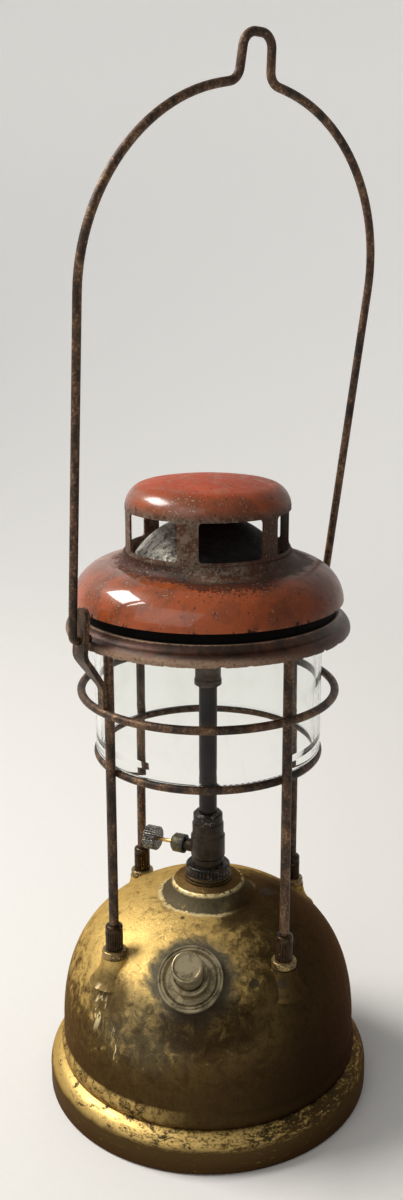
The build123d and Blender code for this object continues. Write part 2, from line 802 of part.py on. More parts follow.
with BuildPart() as inner_cowl:
    with BuildSketch(Plane.XZ):
        with BuildLine():
            outer_deg = degrees(asin(cowl_r / cowl_round_r))
            inner_deg = degrees(acos((cowl_edge_z - cowl_centre[1]) / (cowl_round_r - cowl_wall)))
            outer = CenterArc(cowl_centre, cowl_round_r, 90 - outer_deg, outer_deg)
            inner = CenterArc(cowl_centre, cowl_round_r - cowl_wall, 90 - inner_deg, inner_deg)
            Line(outer @ 0, inner @ 0)
            Line(outer @ 1, inner @ 1)
        make_face()
    revolve(axis=Axis.Z)
    tab_first_deg = window_first_deg + 180 / window_count
    with BuildSketch(Plane.XY.offset(cowl_edge_z)):
        with PolarLocations((cowl_r + tab_end) / 2, cowl_tab_count, start_angle=tab_first_deg):
            Rectangle(tab_end - cowl_r + 4 * cowl_wall, cowl_tab_w)
        Circle(tab_end, mode=Mode.INTERSECT)
    extrude(amount=cowl_wall)
    with BuildSketch(Plane.XY.offset(cowl_edge_z)):
        with PolarLocations(tab_end, cowl_tab_count, start_angle=tab_first_deg):
            Rectangle(4 * cowl_wall, cowl_tab_w)
        Circle(tab_end, mode=Mode.INTERSECT)
        Circle(tab_end - cowl_wall, mode=Mode.SUBTRACT)
    extrude(amount=-neck_r / 2)
    with BuildSketch(Plane.XY.offset(cowl_top_z)):
        Circle(stem_r + solder_gap)
    extrude(amount=-2 * cowl_wall, mode=Mode.SUBTRACT)
save(inner_cowl, "inner_cowl")

# ================================================================ burner
chamber_floor_z = hood_edge_z - chamber_drop
chamber_top_z = chamber_floor_z + chamber_h
air_tube_z = chamber_floor_z + air_tube_h
nozzle_foot_z = chamber_floor_z - nozzle_h
chamber_round = (chamber_r - chamber_round_r, chamber_top_z - chamber_round_r)
nozzle_bore_r = vaporiser_r + vaporiser_gap
nozzle_r = nozzle_bore_r + nozzle_wall


def chamber_line(inset):
    """Outside or inside line of the mixing chamber, floor to roof; returns its ends."""
    floor_z = chamber_floor_z + inset
    side = chamber_r - inset
    Polyline((nozzle_r + solder_gap, floor_z), (side, floor_z), (side, chamber_round[1]))
    CenterArc(chamber_round, chamber_round_r - inset, 0, 90)
    roof = Line((chamber_round[0], chamber_top_z - inset), (stem_r + solder_gap, chamber_top_z - inset))
    return (nozzle_r + solder_gap, floor_z), roof @ 1


with BuildPart() as mixing_chamber:
    with BuildSketch(Plane.XZ):
        with BuildLine():
            outer_floor, outer_roof = chamber_line(0)
            inner_floor, inner_roof = chamber_line(chamber_wall)
            Line(outer_floor, inner_floor)
            Line(outer_roof, inner_roof)
        make_face()
    revolve(axis=Axis.Z)
    with BuildSketch(Plane.XZ):
        with Locations((0, air_tube_z)):
            Circle(air_tube_r + solder_gap)
    extrude(amount=chamber_r, both=True, mode=Mode.SUBTRACT)
save(mixing_chamber, "mixing_chamber")

with BuildPart() as air_tubes:
    with BuildSketch(Plane.XZ.offset(chamber_r - 2 * chamber_wall)):
        with Locations((0, air_tube_z)):
            Circle(air_tube_r)
            Circle(air_tube_r - air_tube_wall, mode=Mode.SUBTRACT)
    extrude(amount=air_tube_reach - chamber_r + 2 * chamber_wall)
    mirror(about=Plane.XZ)
save(air_tubes, "air_tubes")

with BuildPart() as burner_stem:
    with BuildSketch(Plane.XY.offset(chamber_top_z - chamber_wall)):
        Circle(stem_r)
    extrude(amount=cowl_top_z + stem_nut_h + stem_r / 2 - chamber_top_z + chamber_wall)
    chamfer(burner_stem.faces().sort_by(Axis.Z)[-1].edges(), length=stem_r / 5)
save(burner_stem, "burner_stem")

with BuildPart() as stem_nut:
    with BuildSketch(Plane.XY.offset(cowl_top_z)):
        RegularPolygon(stem_nut_af / 2, 6, major_radius=False)
        Circle(stem_r + solder_gap, mode=Mode.SUBTRACT)
    extrude(amount=stem_nut_h)
save(stem_nut, "stem_nut")

# the nozzle hangs round the vaporiser; its lip takes the mantle's tie
with BuildPart() as burner_nozzle:
    nozzle_lip_top = nozzle_foot_z + nozzle_lip_h
    lip_round = (nozzle_lip_r - nozzle_bore_r) / 4
    with BuildSketch(Plane.XZ):
        with BuildLine():
            Polyline(
                (nozzle_bore_r, nozzle_foot_z),
                (nozzle_lip_r - lip_round, nozzle_foot_z),
                (nozzle_lip_r, nozzle_foot_z + lip_round),
                (nozzle_lip_r, nozzle_lip_top - lip_round),
                (nozzle_r, nozzle_lip_top),
                (nozzle_r, chamber_floor_z + 2 * chamber_wall),
                (nozzle_bore_r, chamber_floor_z + 2 * chamber_wall),
                close=True,
            )
        make_face()
    revolve(axis=Axis.Z)
save(burner_nozzle, "burner_nozzle")

# a skirt spot-welded inside the bell; it stands on the rim's flange, round the peened struts
bed_outer = hood_round_r - hood_wall - weld_gap
bed_inner = bed_outer - skirt_wall
upright_outer = rim_top_r - rim_wall - slip_gap
upright_inner = upright_outer - skirt_wall
outer_bend_deg = degrees(acos((upright_outer - round_centre[0]) / bed_outer))
inner_bend_deg = degrees(acos((upright_inner - round_centre[0]) / bed_inner))

with BuildPart() as hood_skirt:
    with BuildSketch(Plane.XZ):
        with BuildLine():
            outer_bed = CenterArc(round_centre, bed_outer, outer_bend_deg, skirt_end_deg - outer_bend_deg)
            inner_bed = CenterArc(round_centre, bed_inner, inner_bend_deg, skirt_end_deg - inner_bend_deg)
            Line(outer_bed @ 1, inner_bed @ 1)
            Polyline(
                outer_bed @ 0,
                (upright_outer, rim_flange_top),
                (upright_inner, rim_flange_top),
                inner_bed @ 0,
            )
        make_face()
    revolve(axis=Axis.Z)
save(hood_skirt, "hood_skirt")

# ================================================================ cock and vaporiser
boss_top_z = platform_z + boss_flange_h
mouth_r = spigot_r + solder_gap

with BuildPart() as burner_boss:
    with BuildSketch(Plane.XY.offset(platform_z)):
        Circle(boss_r)
    extrude(amount=boss_flange_h)
    fillet(burner_boss.edges(), radius=boss_flange_h / 4)
    with BuildSketch(Plane.XY.offset(platform_z)):
        Circle(boss_bush_r)
    extrude(amount=-boss_bush_h)
    with BuildSketch(Plane.XY.offset(boss_top_z)):
        Circle(mouth_r)
    extrude(amount=-2 * boss_bush_h, mode=Mode.SUBTRACT)
save(burner_boss, "burner_boss")

washer_top_z = boss_top_z + washer_h
flange_ring_top_z = washer_top_z + flange_ring_h
thin_washer_top_z = flange_ring_top_z + thin_washer_h
locknut_top_z = thin_washer_top_z + locknut_h

with BuildPart() as cock_washer:
    with BuildSketch(Plane.XY.offset(boss_top_z)):
        Circle(washer_r)
        Circle(mouth_r, mode=Mode.SUBTRACT)
    extrude(amount=washer_h)
save(cock_washer, "cock_washer")

with BuildPart() as cock_flange_ring:
    with BuildSketch(Plane.XY.offset(washer_top_z)):
        Circle(flange_ring_r)
        Circle(mouth_r, mode=Mode.SUBTRACT)
    extrude(amount=flange_ring_h)
    rim_edges = cock_flange_ring.faces().filter_by(GeomType.CYLINDER).sort_by(SortBy.AREA)[-1].edges()
    fillet(rim_edges.filter_by(GeomType.CIRCLE), radius=flange_ring_h / 3)
save(cock_flange_ring, "cock_flange_ring")

with BuildPart() as cock_thin_washer:
    with BuildSketch(Plane.XY.offset(flange_ring_top_z)):
        Circle(thin_washer_r)
        Circle(mouth_r, mode=Mode.SUBTRACT)
    extrude(amount=thin_washer_h)
save(cock_thin_washer, "cock_thin_washer")

locknut_grip = knurled(Plane.XY, locknut_r, thin_washer_top_z, locknut_h - 2 * knurl_depth, locknut_knurls)

with BuildPart() as cock_locknut:
    add(locknut_grip.part)
    with BuildSketch(Plane.XY.offset(locknut_top_z - 2 * knurl_depth)):
        Circle(locknut_r - knurl_depth)
    extrude(amount=2 * knurl_depth)
    chamfer(cock_locknut.faces().sort_by(Axis.Z)[-1].edges(), length=knurl_depth)
    with BuildSketch(Plane.XY.offset(thin_washer_top_z)):
        Circle(mouth_r)
    extrude(amount=locknut_h, mode=Mode.SUBTRACT)
save(cock_locknut, "cock_locknut")

valve_angle = radians(valve_deg)
cock_belly_z = boss_top_z + cock_belly_rise
vaporiser_top_z = chamber_floor_z + vaporiser_reach
cock_neck_z = cock_belly_z + cock_belly_h
cock_top_z = cock_neck_z + cock_neck_h
cock_seat_z = cock_top_z - union_thread_h
spigot_foot_z = boss_top_z - spigot_h
plug_top_z = spigot_foot_z + plug_h
valve_z = cock_belly_z + valve_rise
# local y is +Z, the normal runs out along the spindle
valve_plane = Plane(
    origin=(0, 0, valve_z),
    x_dir=(-sin(valve_angle), cos(valve_angle), 0),
    z_dir=(cos(valve_angle), sin(valve_angle), 0),
)
# local x is a radius, local y runs out along the spindle
valve_section = Plane(origin=(0, 0, valve_z), x_dir=(0, 0, 1), z_dir=valve_plane.x_dir)
valve_line = Axis(valve_plane.origin, valve_plane.z_dir)

with BuildPart() as cock_body:
    with BuildSketch(Plane.XZ):
        with BuildLine():
            Polyline(
                (0, spigot_foot_z),
                (spigot_r, spigot_foot_z),
                (spigot_r, locknut_top_z),
                (cock_waist_r, locknut_top_z),
                (cock_waist_r, cock_belly_z - cock_step),
                (cock_belly_r, cock_belly_z),
                (cock_belly_r, cock_neck_z),
                (cock_neck_r, cock_neck_z + cock_step),
                (cock_neck_r, cock_top_z - cock_step),
                (cock_neck_r - cock_step / 2, cock_top_z),
                (0, cock_top_z),
                close=True,
            )
        make_face()
    revolve(axis=Axis.Z)
    with BuildSketch(valve_plane):
        Circle(valve_boss_r)
    extrude(amount=valve_boss_end)
    with BuildSketch(valve_plane):
        Circle(crank_r + running_gap)
    extrude(amount=valve_boss_end, mode=Mode.SUBTRACT)
    with BuildSketch(Plane.XY.offset(plug_top_z)):
        Circle(cock_bore_r)
    extrude(amount=cock_seat_z - plug_top_z, mode=Mode.SUBTRACT)
    with BuildSketch(Plane.XY.offset(cock_seat_z)):
        Circle(union_thread_r + solder_gap)
    extrude(amount=union_thread_h, mode=Mode.SUBTRACT)
    with BuildSketch(Plane.XY.offset(spigot_foot_z)):
        Circle(suction_r + solder_gap)
    extrude(amount=plug_top_z - spigot_foot_z, mode=Mode.SUBTRACT)
save(cock_body, "cock_body")

with BuildPart() as vaporiser_tube:
    with BuildSketch(Plane.XY.offset(cock_seat_z)):
        Circle(vaporiser_r)
        Circle(vaporiser_bore_r, mode=Mode.SUBTRACT)
    extrude(amount=vaporiser_top_z - cock_seat_z)
save(vaporiser_tube, "vaporiser_tube")

with BuildPart() as vaporiser_union:
    union_top_z = cock_top_z + union_h
    with BuildSketch(Plane.XZ):
        with BuildLine():
            Polyline(
                (vaporiser_r + solder_gap, cock_seat_z),
                (union_thread_r, cock_seat_z),
                (union_thread_r, cock_top_z),
                (union_r, cock_top_z),
                (union_r, union_top_z - union_h / 4),
                (union_r - union_h / 4, union_top_z),
                (vaporiser_r + solder_gap, union_top_z),
                close=True,
            )
        make_face()
    revolve(axis=Axis.Z)
save(vaporiser_union, "vaporiser_union")

jet_top_z = vaporiser_top_z + jet_h
jet_hole_z = jet_top_z - jet_hole_h
jet_bore_r = pricker_r + 2 * running_gap

with BuildPart() as vaporiser_jet:
    jet_shank_r = vaporiser_bore_r - solder_gap
    with BuildSketch(Plane.XZ):
        with BuildLine():
            Polyline(
                (jet_bore_r, vaporiser_top_z - jet_h),
                (jet_shank_r, vaporiser_top_z - jet_h),
                (jet_shank_r, vaporiser_top_z),
                (vaporiser_r - running_gap, vaporiser_top_z),
                (vaporiser_r - running_gap, vaporiser_top_z + jet_collar_h),
                (jet_tip_r, vaporiser_top_z + jet_collar_h + jet_cone_h),
                (jet_tip_r, jet_top_z),
                (jet_hole_r, jet_top_z),
                (jet_hole_r, jet_hole_z),
                (jet_bore_r, jet_hole_z - jet_bore_r / 2),
                close=True,
            )
        make_face()
    revolve(axis=Axis.Z)
save(vaporiser_jet, "vaporiser_jet")

# ================================================================ control spindle and pricker
gland_washer_end = valve_boss_end + gland_washer_h
gland_end = gland_washer_end + gland_h
spindle_hole_r = spindle_r + running_gap

with BuildPart() as gland_washer:
    with BuildSketch(valve_plane.offset(valve_boss_end)):
        Circle(gland_r)
        Circle(spindle_hole_r, mode=Mode.SUBTRACT)
    extrude(amount=gland_washer_h)
save(gland_washer, "gland_washer")

with BuildPart() as gland_packing:
    with BuildSketch(valve_plane.offset(gland_washer_end)):
        Circle(packing_r)
        Circle(spindle_hole_r, mode=Mode.SUBTRACT)
    extrude(amount=packing_h)
save(gland_packing, "gland_packing")

with BuildPart() as gland_nut:
    with BuildSketch(valve_section):
        with BuildLine():
            Polyline(
                (packing_r + solder_gap, gland_washer_end),
                (gland_r, gland_washer_end),
                (gland_r, gland_end - gland_bevel),
                (gland_r - gland_bevel, gland_end),
                (spindle_hole_r, gland_end),
                (spindle_hole_r, gland_washer_end + packing_h),
                (packing_r + solder_gap, gland_washer_end + packing_h),
                close=True,
            )
        make_face()
    revolve(axis=valve_line)
save(gland_nut, "gland_nut")

crank_start = radians(crank_start_deg)
pin_height = crank_throw * sin(crank_start)
knob_end = knob_start + knob_h

with BuildPart() as control_spindle:
    with BuildSketch(valve_section):
        with BuildLine():
            Polyline(
                (0, crank_face),
                (crank_r, crank_face),
                (crank_r, crank_face + crank_h),
                (spindle_thread_r, crank_face + crank_h),
                (spindle_thread_r, valve_boss_end - spindle_r),
                (spindle_r, valve_boss_end - spindle_r / 2),
                (spindle_r, knob_end - spindle_r),
                (0, knob_end - spindle_r),
                close=True,
            )
        make_face()
    revolve(axis=valve_line)
    # eccentric pin that drives the pricker
    with BuildSketch(valve_plane.offset(-pricker_foot_d / 2)):
        with Locations((crank_throw * cos(crank_start), pin_height)):
            Circle(crank_pin_r)
    extrude(amount=crank_face + pricker_foot_d / 2)
save(control_spindle, "control_spindle")

knob_grip = knurled(valve_plane, knob_r, knob_start + knurl_depth, knob_h - 2 * knurl_depth, knob_knurls)

with BuildPart() as control_knob:
    add(knob_grip.part)
    with BuildSketch(valve_plane.offset(knob_start)):
        Circle(knob_r - knurl_depth)
    extrude(amount=knob_h)
    with BuildSketch(valve_plane.offset(knob_start)):
        Circle(spindle_r + solder_gap)
    extrude(amount=knob_h - spindle_r, mode=Mode.SUBTRACT)
save(control_knob, "control_knob")

slot_half_h = crank_pin_r + crank_gap
slot_start = crank_throw * cos(crank_start) - slot_half_h
slot_end = crank_throw + slot_half_h
pricker_foot_h = 2 * (slot_half_h + pricker_foot_web)
needle_top_z = jet_hole_z - needle_clear
pricker_rod_start = valve_z + pin_height + pricker_foot_h / 2

with BuildPart() as pricker_rod:
    with BuildSketch(valve_plane.offset(-pricker_foot_d / 2)):
        with Locations((0, pin_height)):
            Rectangle(pricker_foot_w, pricker_foot_h)
        with Locations(((slot_start + slot_end) / 2, pin_height)):
            Rectangle(slot_end - slot_start, 2 * slot_half_h, mode=Mode.SUBTRACT)
    extrude(amount=pricker_foot_d)
    with BuildSketch(Plane.XY.offset(pricker_rod_start)):
        Circle(pricker_r)
    extrude(amount=needle_top_z - needle_h - pricker_rod_start)
    with BuildSketch(Plane.XY.offset(needle_top_z - needle_h)):
        Circle(needle_r)
    extrude(amount=needle_h)
save(pricker_rod, "pricker_rod")

# ================================================================ suction tube in the tank
filter_foot_z = dish_top_z + filter_floor_gap
tube_foot_z = filter_foot_z + filter_h / 4

with BuildPart() as suction_tube:
    with BuildSketch(Plane.XY.offset(tube_foot_z)):
        Circle(suction_r)
        Circle(suction_r - suction_wall, mode=Mode.SUBTRACT)
    extrude(amount=plug_top_z - tube_foot_z)
save(suction_tube, "suction_tube")

with BuildPart() as suction_filter:
    with BuildSketch(Plane.XY.offset(filter_foot_z)):
        Circle(filter_r)
    extrude(amount=filter_h)
    fillet(suction_filter.faces().sort_by(Axis.Z)[0].edges(), radius=filter_r / 4)
    with BuildSketch(Plane.XY.offset(tube_foot_z)):
        Circle(suction_r + solder_gap)
    extrude(amount=filter_h, mode=Mode.SUBTRACT)
save(suction_filter, "suction_filter")

# ================================================================ filler and pump
cap_seat = -filler_cap_h
boss_face = cap_seat - filler_seal_h
barrel_hole_r = barrel_r + solder_gap
collar_foot = -filler_dish_depth
collar_top = collar_foot + pump_collar_h
barrel_foot = collar_foot - barrel_h
barrel_in_r = barrel_r - barrel_wall

with BuildPart() as filler_boss:
    with BuildSketch(pump_plane.offset(boss_face)):
        Circle(filler_boss_r)
        Circle(filler_bore_r, mode=Mode.SUBTRACT)
    extrude(amount=-filler_boss_depth)
    chamfer(filler_boss.faces().sort_by(pump_line)[-1].outer_wire().edges(), length=filler_edge_bevel)
save(filler_boss, "filler_boss")

with BuildPart() as filler_seal:
    with BuildSketch(pump_plane.offset(boss_face)):
        Circle(filler_boss_r - filler_edge_bevel)
        Circle(filler_skirt_r + running_gap, mode=Mode.SUBTRACT)
    extrude(amount=filler_seal_h)
save(filler_seal, "filler_seal")

with BuildPart() as filler_cap:
    groove_out = filler_groove_r + filler_groove_w / 2
    groove_in = filler_groove_r - filler_groove_w / 2
    groove_floor = -filler_groove_w
    with BuildSketch(pump_section):
        with BuildLine():
            Polyline(
                (barrel_hole_r, cap_seat - filler_skirt_h),
                (filler_skirt_r, cap_seat - filler_skirt_h),
                (filler_skirt_r, cap_seat),
                (filler_cap_r, cap_seat),
                (filler_cap_r, -filler_edge_bevel),
                (filler_cap_r - filler_edge_bevel / 2, 0),
                (groove_out, 0),
                (groove_out, groove_floor),
                (groove_in, groove_floor),
                (groove_in, 0),
                (filler_dish_r, 0),
                (filler_dish_r - filler_dish_depth, collar_foot),
                (barrel_hole_r, collar_foot),
                close=True,
            )
        make_face()
    revolve(axis=pump_line)
save(filler_cap, "filler_cap")

# the collar screws down on the barrel and guides the plunger's rod
with BuildPart() as pump_collar:
    collar_recess_r = pump_knob_r + slip_gap
    with BuildSketch(pump_section):
        with BuildLine():
            Polyline(
                (pump_rod_r + running_gap, collar_foot),
                (pump_collar_r, collar_foot),
                (pump_collar_r, collar_top - filler_edge_bevel),
                (pump_collar_r - filler_edge_bevel, collar_top),
                (collar_recess_r, collar_top),
                (collar_recess_r, collar_top - pump_collar_recess),
                (pump_rod_r + running_gap, collar_top - pump_collar_recess),
                close=True,
            )
        make_face()
    revolve(axis=pump_line)
save(pump_collar, "pump_collar")

with BuildPart() as pump_barrel:
    with BuildSketch(pump_plane.offset(barrel_foot)):
        Circle(barrel_r)
        Circle(barrel_in_r, mode=Mode.SUBTRACT)
    extrude(amount=barrel_h)
save(pump_barrel, "pump_barrel")

with BuildPart() as pump_foot_valve:
    valve_plug_r = barrel_in_r - solder_gap
    valve_foot = barrel_foot - foot_valve_h
    with BuildSketch(pump_section):
        with BuildLine():
            Polyline(
                (foot_valve_hole_r, valve_foot),
                (foot_valve_tip_r, valve_foot),
                (foot_valve_tip_r, valve_foot + foot_valve_h / 4),
                (barrel_r, valve_foot + foot_valve_cone_h),
                (barrel_r, barrel_foot),
                (valve_plug_r, barrel_foot),
                (valve_plug_r, barrel_foot + foot_valve_h / 3),
                (foot_valve_hole_r, barrel_foot + foot_valve_h / 3),
                close=True,
            )
        make_face()
    revolve(axis=pump_line)
save(pump_foot_valve, "pump_foot_valve")

knob_foot = collar_top - pump_collar_recess

with BuildPart() as pump_knob:
    with BuildSketch(pump_section):
        with BuildLine():
            neck_top = pump_knob_top - 2 * pump_knob_lip
            Polyline(
                (pump_rod_r + solder_gap, knob_foot),
                (pump_knob_waist_r, knob_foot),
                (pump_knob_waist_r, neck_top - pump_knob_lip / 2),
                (pump_knob_r, neck_top),
                (pump_knob_r, pump_knob_top - pump_knob_lip / 2),
            )
            RadiusArc(
                (pump_knob_r, pump_knob_top - pump_knob_lip / 2),
                (pump_knob_r - pump_knob_lip / 2, pump_knob_top),
                -pump_knob_lip / 2,
            )
            Polyline(
                (pump_knob_r - pump_knob_lip / 2, pump_knob_top),
                (pump_knob_r - pump_knob_lip, pump_knob_top - pump_knob_dish),
                (0, pump_knob_top - pump_knob_dish),
                (0, neck_top),
                (pump_rod_r + solder_gap, neck_top),
                (pump_rod_r + solder_gap, knob_foot),
            )
        make_face()
    revolve(axis=pump_line)
save(pump_knob, "pump_knob")

leather_in_r = barrel_in_r - leather_gap - leather_wall
leather_top = -leather_rest
leather_web = leather_top - leather_wall
rod_foot = leather_web - plunger_nut_h - plunger_washer_h / 2

with BuildPart() as pump_rod:
    with BuildSketch(pump_plane.offset(rod_foot)):
        Circle(pump_rod_r)
    extrude(amount=neck_top - rod_foot)
save(pump_rod, "pump_rod")

with BuildPart() as pump_leather:
    with BuildSketch(pump_section):
        with BuildLine():
            Polyline(
                (pump_rod_r + solder_gap, leather_top),
                (leather_in_r + leather_wall, leather_top),
                (leather_in_r + leather_wall, leather_top - leather_h),
                (leather_in_r, leather_top - leather_h),
                (leather_in_r, leather_web),
                (pump_rod_r + solder_gap, leather_web),
                close=True,
            )
        make_face()
    revolve(axis=pump_line)
save(pump_leather, "pump_leather")

with BuildPart() as plunger_washer:
    with BuildSketch(pump_plane.offset(leather_top)):
        Circle(plunger_washer_r)
        Circle(pump_rod_r + solder_gap, mode=Mode.SUBTRACT)
    extrude(amount=plunger_washer_h)
save(plunger_washer, "plunger_washer")

with BuildPart() as plunger_nut:
    with BuildSketch(pump_plane.offset(leather_web)):
        RegularPolygon(plunger_nut_af / 2, 6, major_radius=False)
        Circle(pump_rod_r + solder_gap, mode=Mode.SUBTRACT)
    extrude(amount=-plunger_nut_h)
save(plunger_nut, "plunger_nut")
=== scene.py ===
"""Looks of a paraffin pressure lantern: aged brass, sooty enamel, oxidised wire and clear glass."""

import json
import math

import bmesh
import bpy
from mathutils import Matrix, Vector
from mathutils.bvhtree import BVHTree

bl_info = {
    "name": "Pressure Lantern",
    "version": (1, 0, 0),
    "blender": (4, 5, 0),
    "location": "View3D > Sidebar > Lantern",
    "description": "Finishes and studio stage for a paraffin pressure lantern",
    "category": "Object",
}

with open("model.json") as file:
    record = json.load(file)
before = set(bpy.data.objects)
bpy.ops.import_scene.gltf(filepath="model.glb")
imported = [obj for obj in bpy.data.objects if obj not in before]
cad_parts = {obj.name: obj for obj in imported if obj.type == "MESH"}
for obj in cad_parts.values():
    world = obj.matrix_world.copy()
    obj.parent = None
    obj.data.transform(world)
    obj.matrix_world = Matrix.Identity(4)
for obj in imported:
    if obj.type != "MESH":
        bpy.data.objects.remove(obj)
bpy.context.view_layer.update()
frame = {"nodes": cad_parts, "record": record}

MM = 0.001


def heights(node_name):
    """Lowest and highest point of a CAD node, in millimetres."""
    node = frame["nodes"][node_name]
    levels = [(node.matrix_world @ Vector(corner)).z / MM for corner in node.bound_box]
    return min(levels), max(levels)


def skin(node_name):
    """A CAD node's surface, to find points on."""
    node = frame["nodes"][node_name]
    corners = [node.matrix_world @ vertex.co for vertex in node.data.vertices]
    return BVHTree.FromPolygons(corners, [face.vertices for face in node.data.polygons])


RIM_EDGE_Z, RIM_TOP_Z = heights("top_rim")
TANK_SKIN = skin("tank_shell")


def on_tank(turn, out):
    """Point of the tank's skin, in millimetres, from the degrees to the right of the
    pump's side and the distance from the axis."""
    angle = math.radians(turn)
    above = Vector((out * math.sin(angle), -out * math.cos(angle), 300)) * MM
    point = TANK_SKIN.ray_cast(above, Vector((0, 0, -1)))[0]
    if point is None:
        raise RuntimeError("no tank under this point")
    return tuple(point / MM)


# places on the tank, in millimetres
PLATFORM_R = 18.6  # edge of the crown's raised platform
PUMP_FACE = (-1.8, -60.0, 90.5)
BELOW_PUMP = (-24, -66, 66)
# centre of the painted shadow under the pump, which is partly grime
PUMP_SHADOW_AND_GRIME = (10, -69, 70)
SMUDGE = (-46, -55, 75)
# dark oval stains, each with its radius: two by the right front strut, a round one
# on the crown behind that strut and a speck in front of the platform
TANK_SPOTS = (
    (on_tank(28, 61), 3.2),
    (on_tank(40, 65), 3.6),
    (on_tank(100, 31), 4.6),
    (on_tank(-20, 29), 1.5),
)
# scraped streaks below the left front strut, each with its reach
TANK_SCRAPES = ((on_tank(-42, 72), 8.5), (on_tank(-30, 75), 8.0))

# stage
LAMP_SPREAD = math.radians(100)
LAMP_TARGET = (0, 0, 0.2)
FRONT_SHARE = 0.30  # front lamp's power as a share of the key lamp's
WORLD_TONE = (1.0, 0.985, 0.96, 1.0)
WORLD_SEEN = 0.76  # strength of the world seen directly or through glass
GLOSS_SHARE = 0.22  # how far polished metal sees that strength rather than the fill
BACKDROP_GLOW = 0.32  # how far the distant backdrop is lifted to meet the world
BEND_PARTS = 16
LENS = 35.75
LENS_SHIFT = (-0.0054, -0.0194)
NEAR_CLIP = 0.01


def srgb(red, green, blue):
    """A colour given in 0-255 screen values, as linear RGBA."""

    def channel(value):
        value /= 255
        return value / 12.92 if value <= 0.04045 else ((value + 0.055) / 1.055) ** 2.4

    return (channel(red), channel(green), channel(blue), 1.0)


# ------------------------------------------------------------------ shader maths
class Flow:
    """One output socket; arithmetic on it adds Math nodes."""

    def __init__(self, nodes, socket):
        self.nodes = nodes
        self.socket = socket

    def other(self, name):
        """Another output of the same node."""
        return Flow(self.nodes, self.socket.node.outputs[name])

    def math(self, operation, *values):
        return self.nodes.node("ShaderNodeMath", {"operation": operation}, dict(enumerate(values)))

    def __add__(self, other):
        return self.math("ADD", self, other)

    __radd__ = __add__

    def __sub__(self, other):
        return self.math("SUBTRACT", self, other)

    def __rsub__(self, other):
        return self.math("SUBTRACT", other, self)

    def __mul__(self, other):
        return self.math("MULTIPLY", self, other)

    __rmul__ = __mul__

    def __pow__(self, other):
        return self.math("POWER", self, other)

    def most(self, other):
        return self.math("MAXIMUM", self, other)


class Nodes:
    """A node tree, cleared and written as expressions."""

    def __init__(self, tree):
        self.tree = tree
        tree.nodes.clear()

    def node(self, kind, settings=None, inputs=None, output=0):
        """Adds a node: its settings first, then the values or links of its sockets."""
        node = self.tree.nodes.new(kind)
        for key, value in (settings or {}).items():
            setattr(node, key, value)
        for key, value in (inputs or {}).items():
            if isinstance(value, Flow):
                self.tree.links.new(value.socket, node.inputs[key])
            else:
                node.inputs[key].default_value = value
        return Flow(self, node.outputs[output]) if len(node.outputs) else None


class Shader(Nodes):
    """A material and its node tree."""

    def __init__(self, slot_name):
        self.material = bpy.data.materials.new("finish_" + slot_name)
        self.material.use_nodes = True
        super().__init__(self.material.node_tree)
        surface = self.node("ShaderNodeTexCoord", output="Object")
        # the frame's own coordinates, in millimetres
        self.at = self.node("ShaderNodeVectorMath", {"operation": "SCALE"}, {0: surface, "Scale": 1 / MM})
        split = self.node("ShaderNodeSeparateXYZ", inputs={0: self.at})
        self.x, self.y, self.z = (split.other(axis) for axis in "XYZ")
        self.radius = (self.x**2 + self.y**2) ** 0.5

    def noise(self, size, detail=4.0, rough=0.55, warp=0.0, stretch=(1, 1, 1), seed=0.0):
        """Noise from 0 to 1 with features about size millimetres across."""
        scale = tuple(factor / size for factor in stretch)
        moved = self.node(
            "ShaderNodeMapping",
            inputs={"Vector": self.at, "Location": (seed, 1.7 * seed, -0.6 * seed), "Scale": scale},
        )
        return self.node(
            "ShaderNodeTexNoise",
            inputs={"Vector": moved, "Scale": 1.0, "Detail": detail, "Roughness": rough, "Distortion": warp},
        )

    def cells(self, size, seed=0.0):
        """Distance to scattered points about size millimetres apart, in cell widths."""
        moved = self.node(
            "ShaderNodeMapping",
            inputs={"Vector": self.at, "Location": (seed, -seed, 2.3 * seed), "Scale": (1 / size,) * 3},
        )
        return self.node("ShaderNodeTexVoronoi", {"feature": "F1"}, {"Vector": moved, "Scale": 1.0})

    def step(self, value, start, end):
        """Smooth step from 0 at start to 1 at end."""
        return self.node(
            "ShaderNodeMapRange",
            {"interpolation_type": "SMOOTHSTEP"},
            {"Value": value, "From Min": start, "From Max": end},
        )

    def distance(self, point, scale=(1, 1, 1)):
        """Distance in millimetres to a point, with each axis weighted."""
        offset = self.node("ShaderNodeVectorMath", {"operation": "SUBTRACT"}, {0: self.at, 1: point})
        weighted = self.node("ShaderNodeVectorMath", {"operation": "MULTIPLY"}, {0: offset, 1: scale})
        return self.node("ShaderNodeVectorMath", {"operation": "LENGTH"}, {0: weighted}, output="Value")

    def blend(self, factor, first, second, kind="MIX"):
        """Colour first where factor is 0, second where it is 1."""
        return self.node(
            "ShaderNodeMix",
            {"data_type": "RGBA", "blend_type": kind},
            {0: factor, 6: first, 7: second},
            output=2,
        )

    def tint(self, factor, colour):
        """Colour made lighter or darker by a value around 1."""
        grey = self.node("ShaderNodeCombineXYZ", inputs={0: factor, 1: factor, 2: factor})
        return self.blend(1.0, colour, grey, "MULTIPLY")

    def bump(self, height, depth, strength=1.0, under=None):
        """Bump whose full height is depth millimetres."""
        inputs = {"Height": height, "Distance": depth * MM, "Strength": strength}
        if under:
            inputs["Normal"] = under
        return self.node("ShaderNodeBump", inputs=inputs)

    def surface(self, colour, rough, metallic, normal=None, **plain):
        """Ends the tree in a Principled shader; plain values go straight on its sockets."""
        inputs = {"Base Color": colour, "Roughness": rough, "Metallic": metallic}
        if normal:
            inputs["Normal"] = normal
        for label, value in plain.items():
            inputs[label.replace("_", " ")] = value
        shader = self.node("ShaderNodeBsdfPrincipled", inputs=inputs)
        self.node("ShaderNodeOutputMaterial", inputs={"Surface": shader})
        return self.material


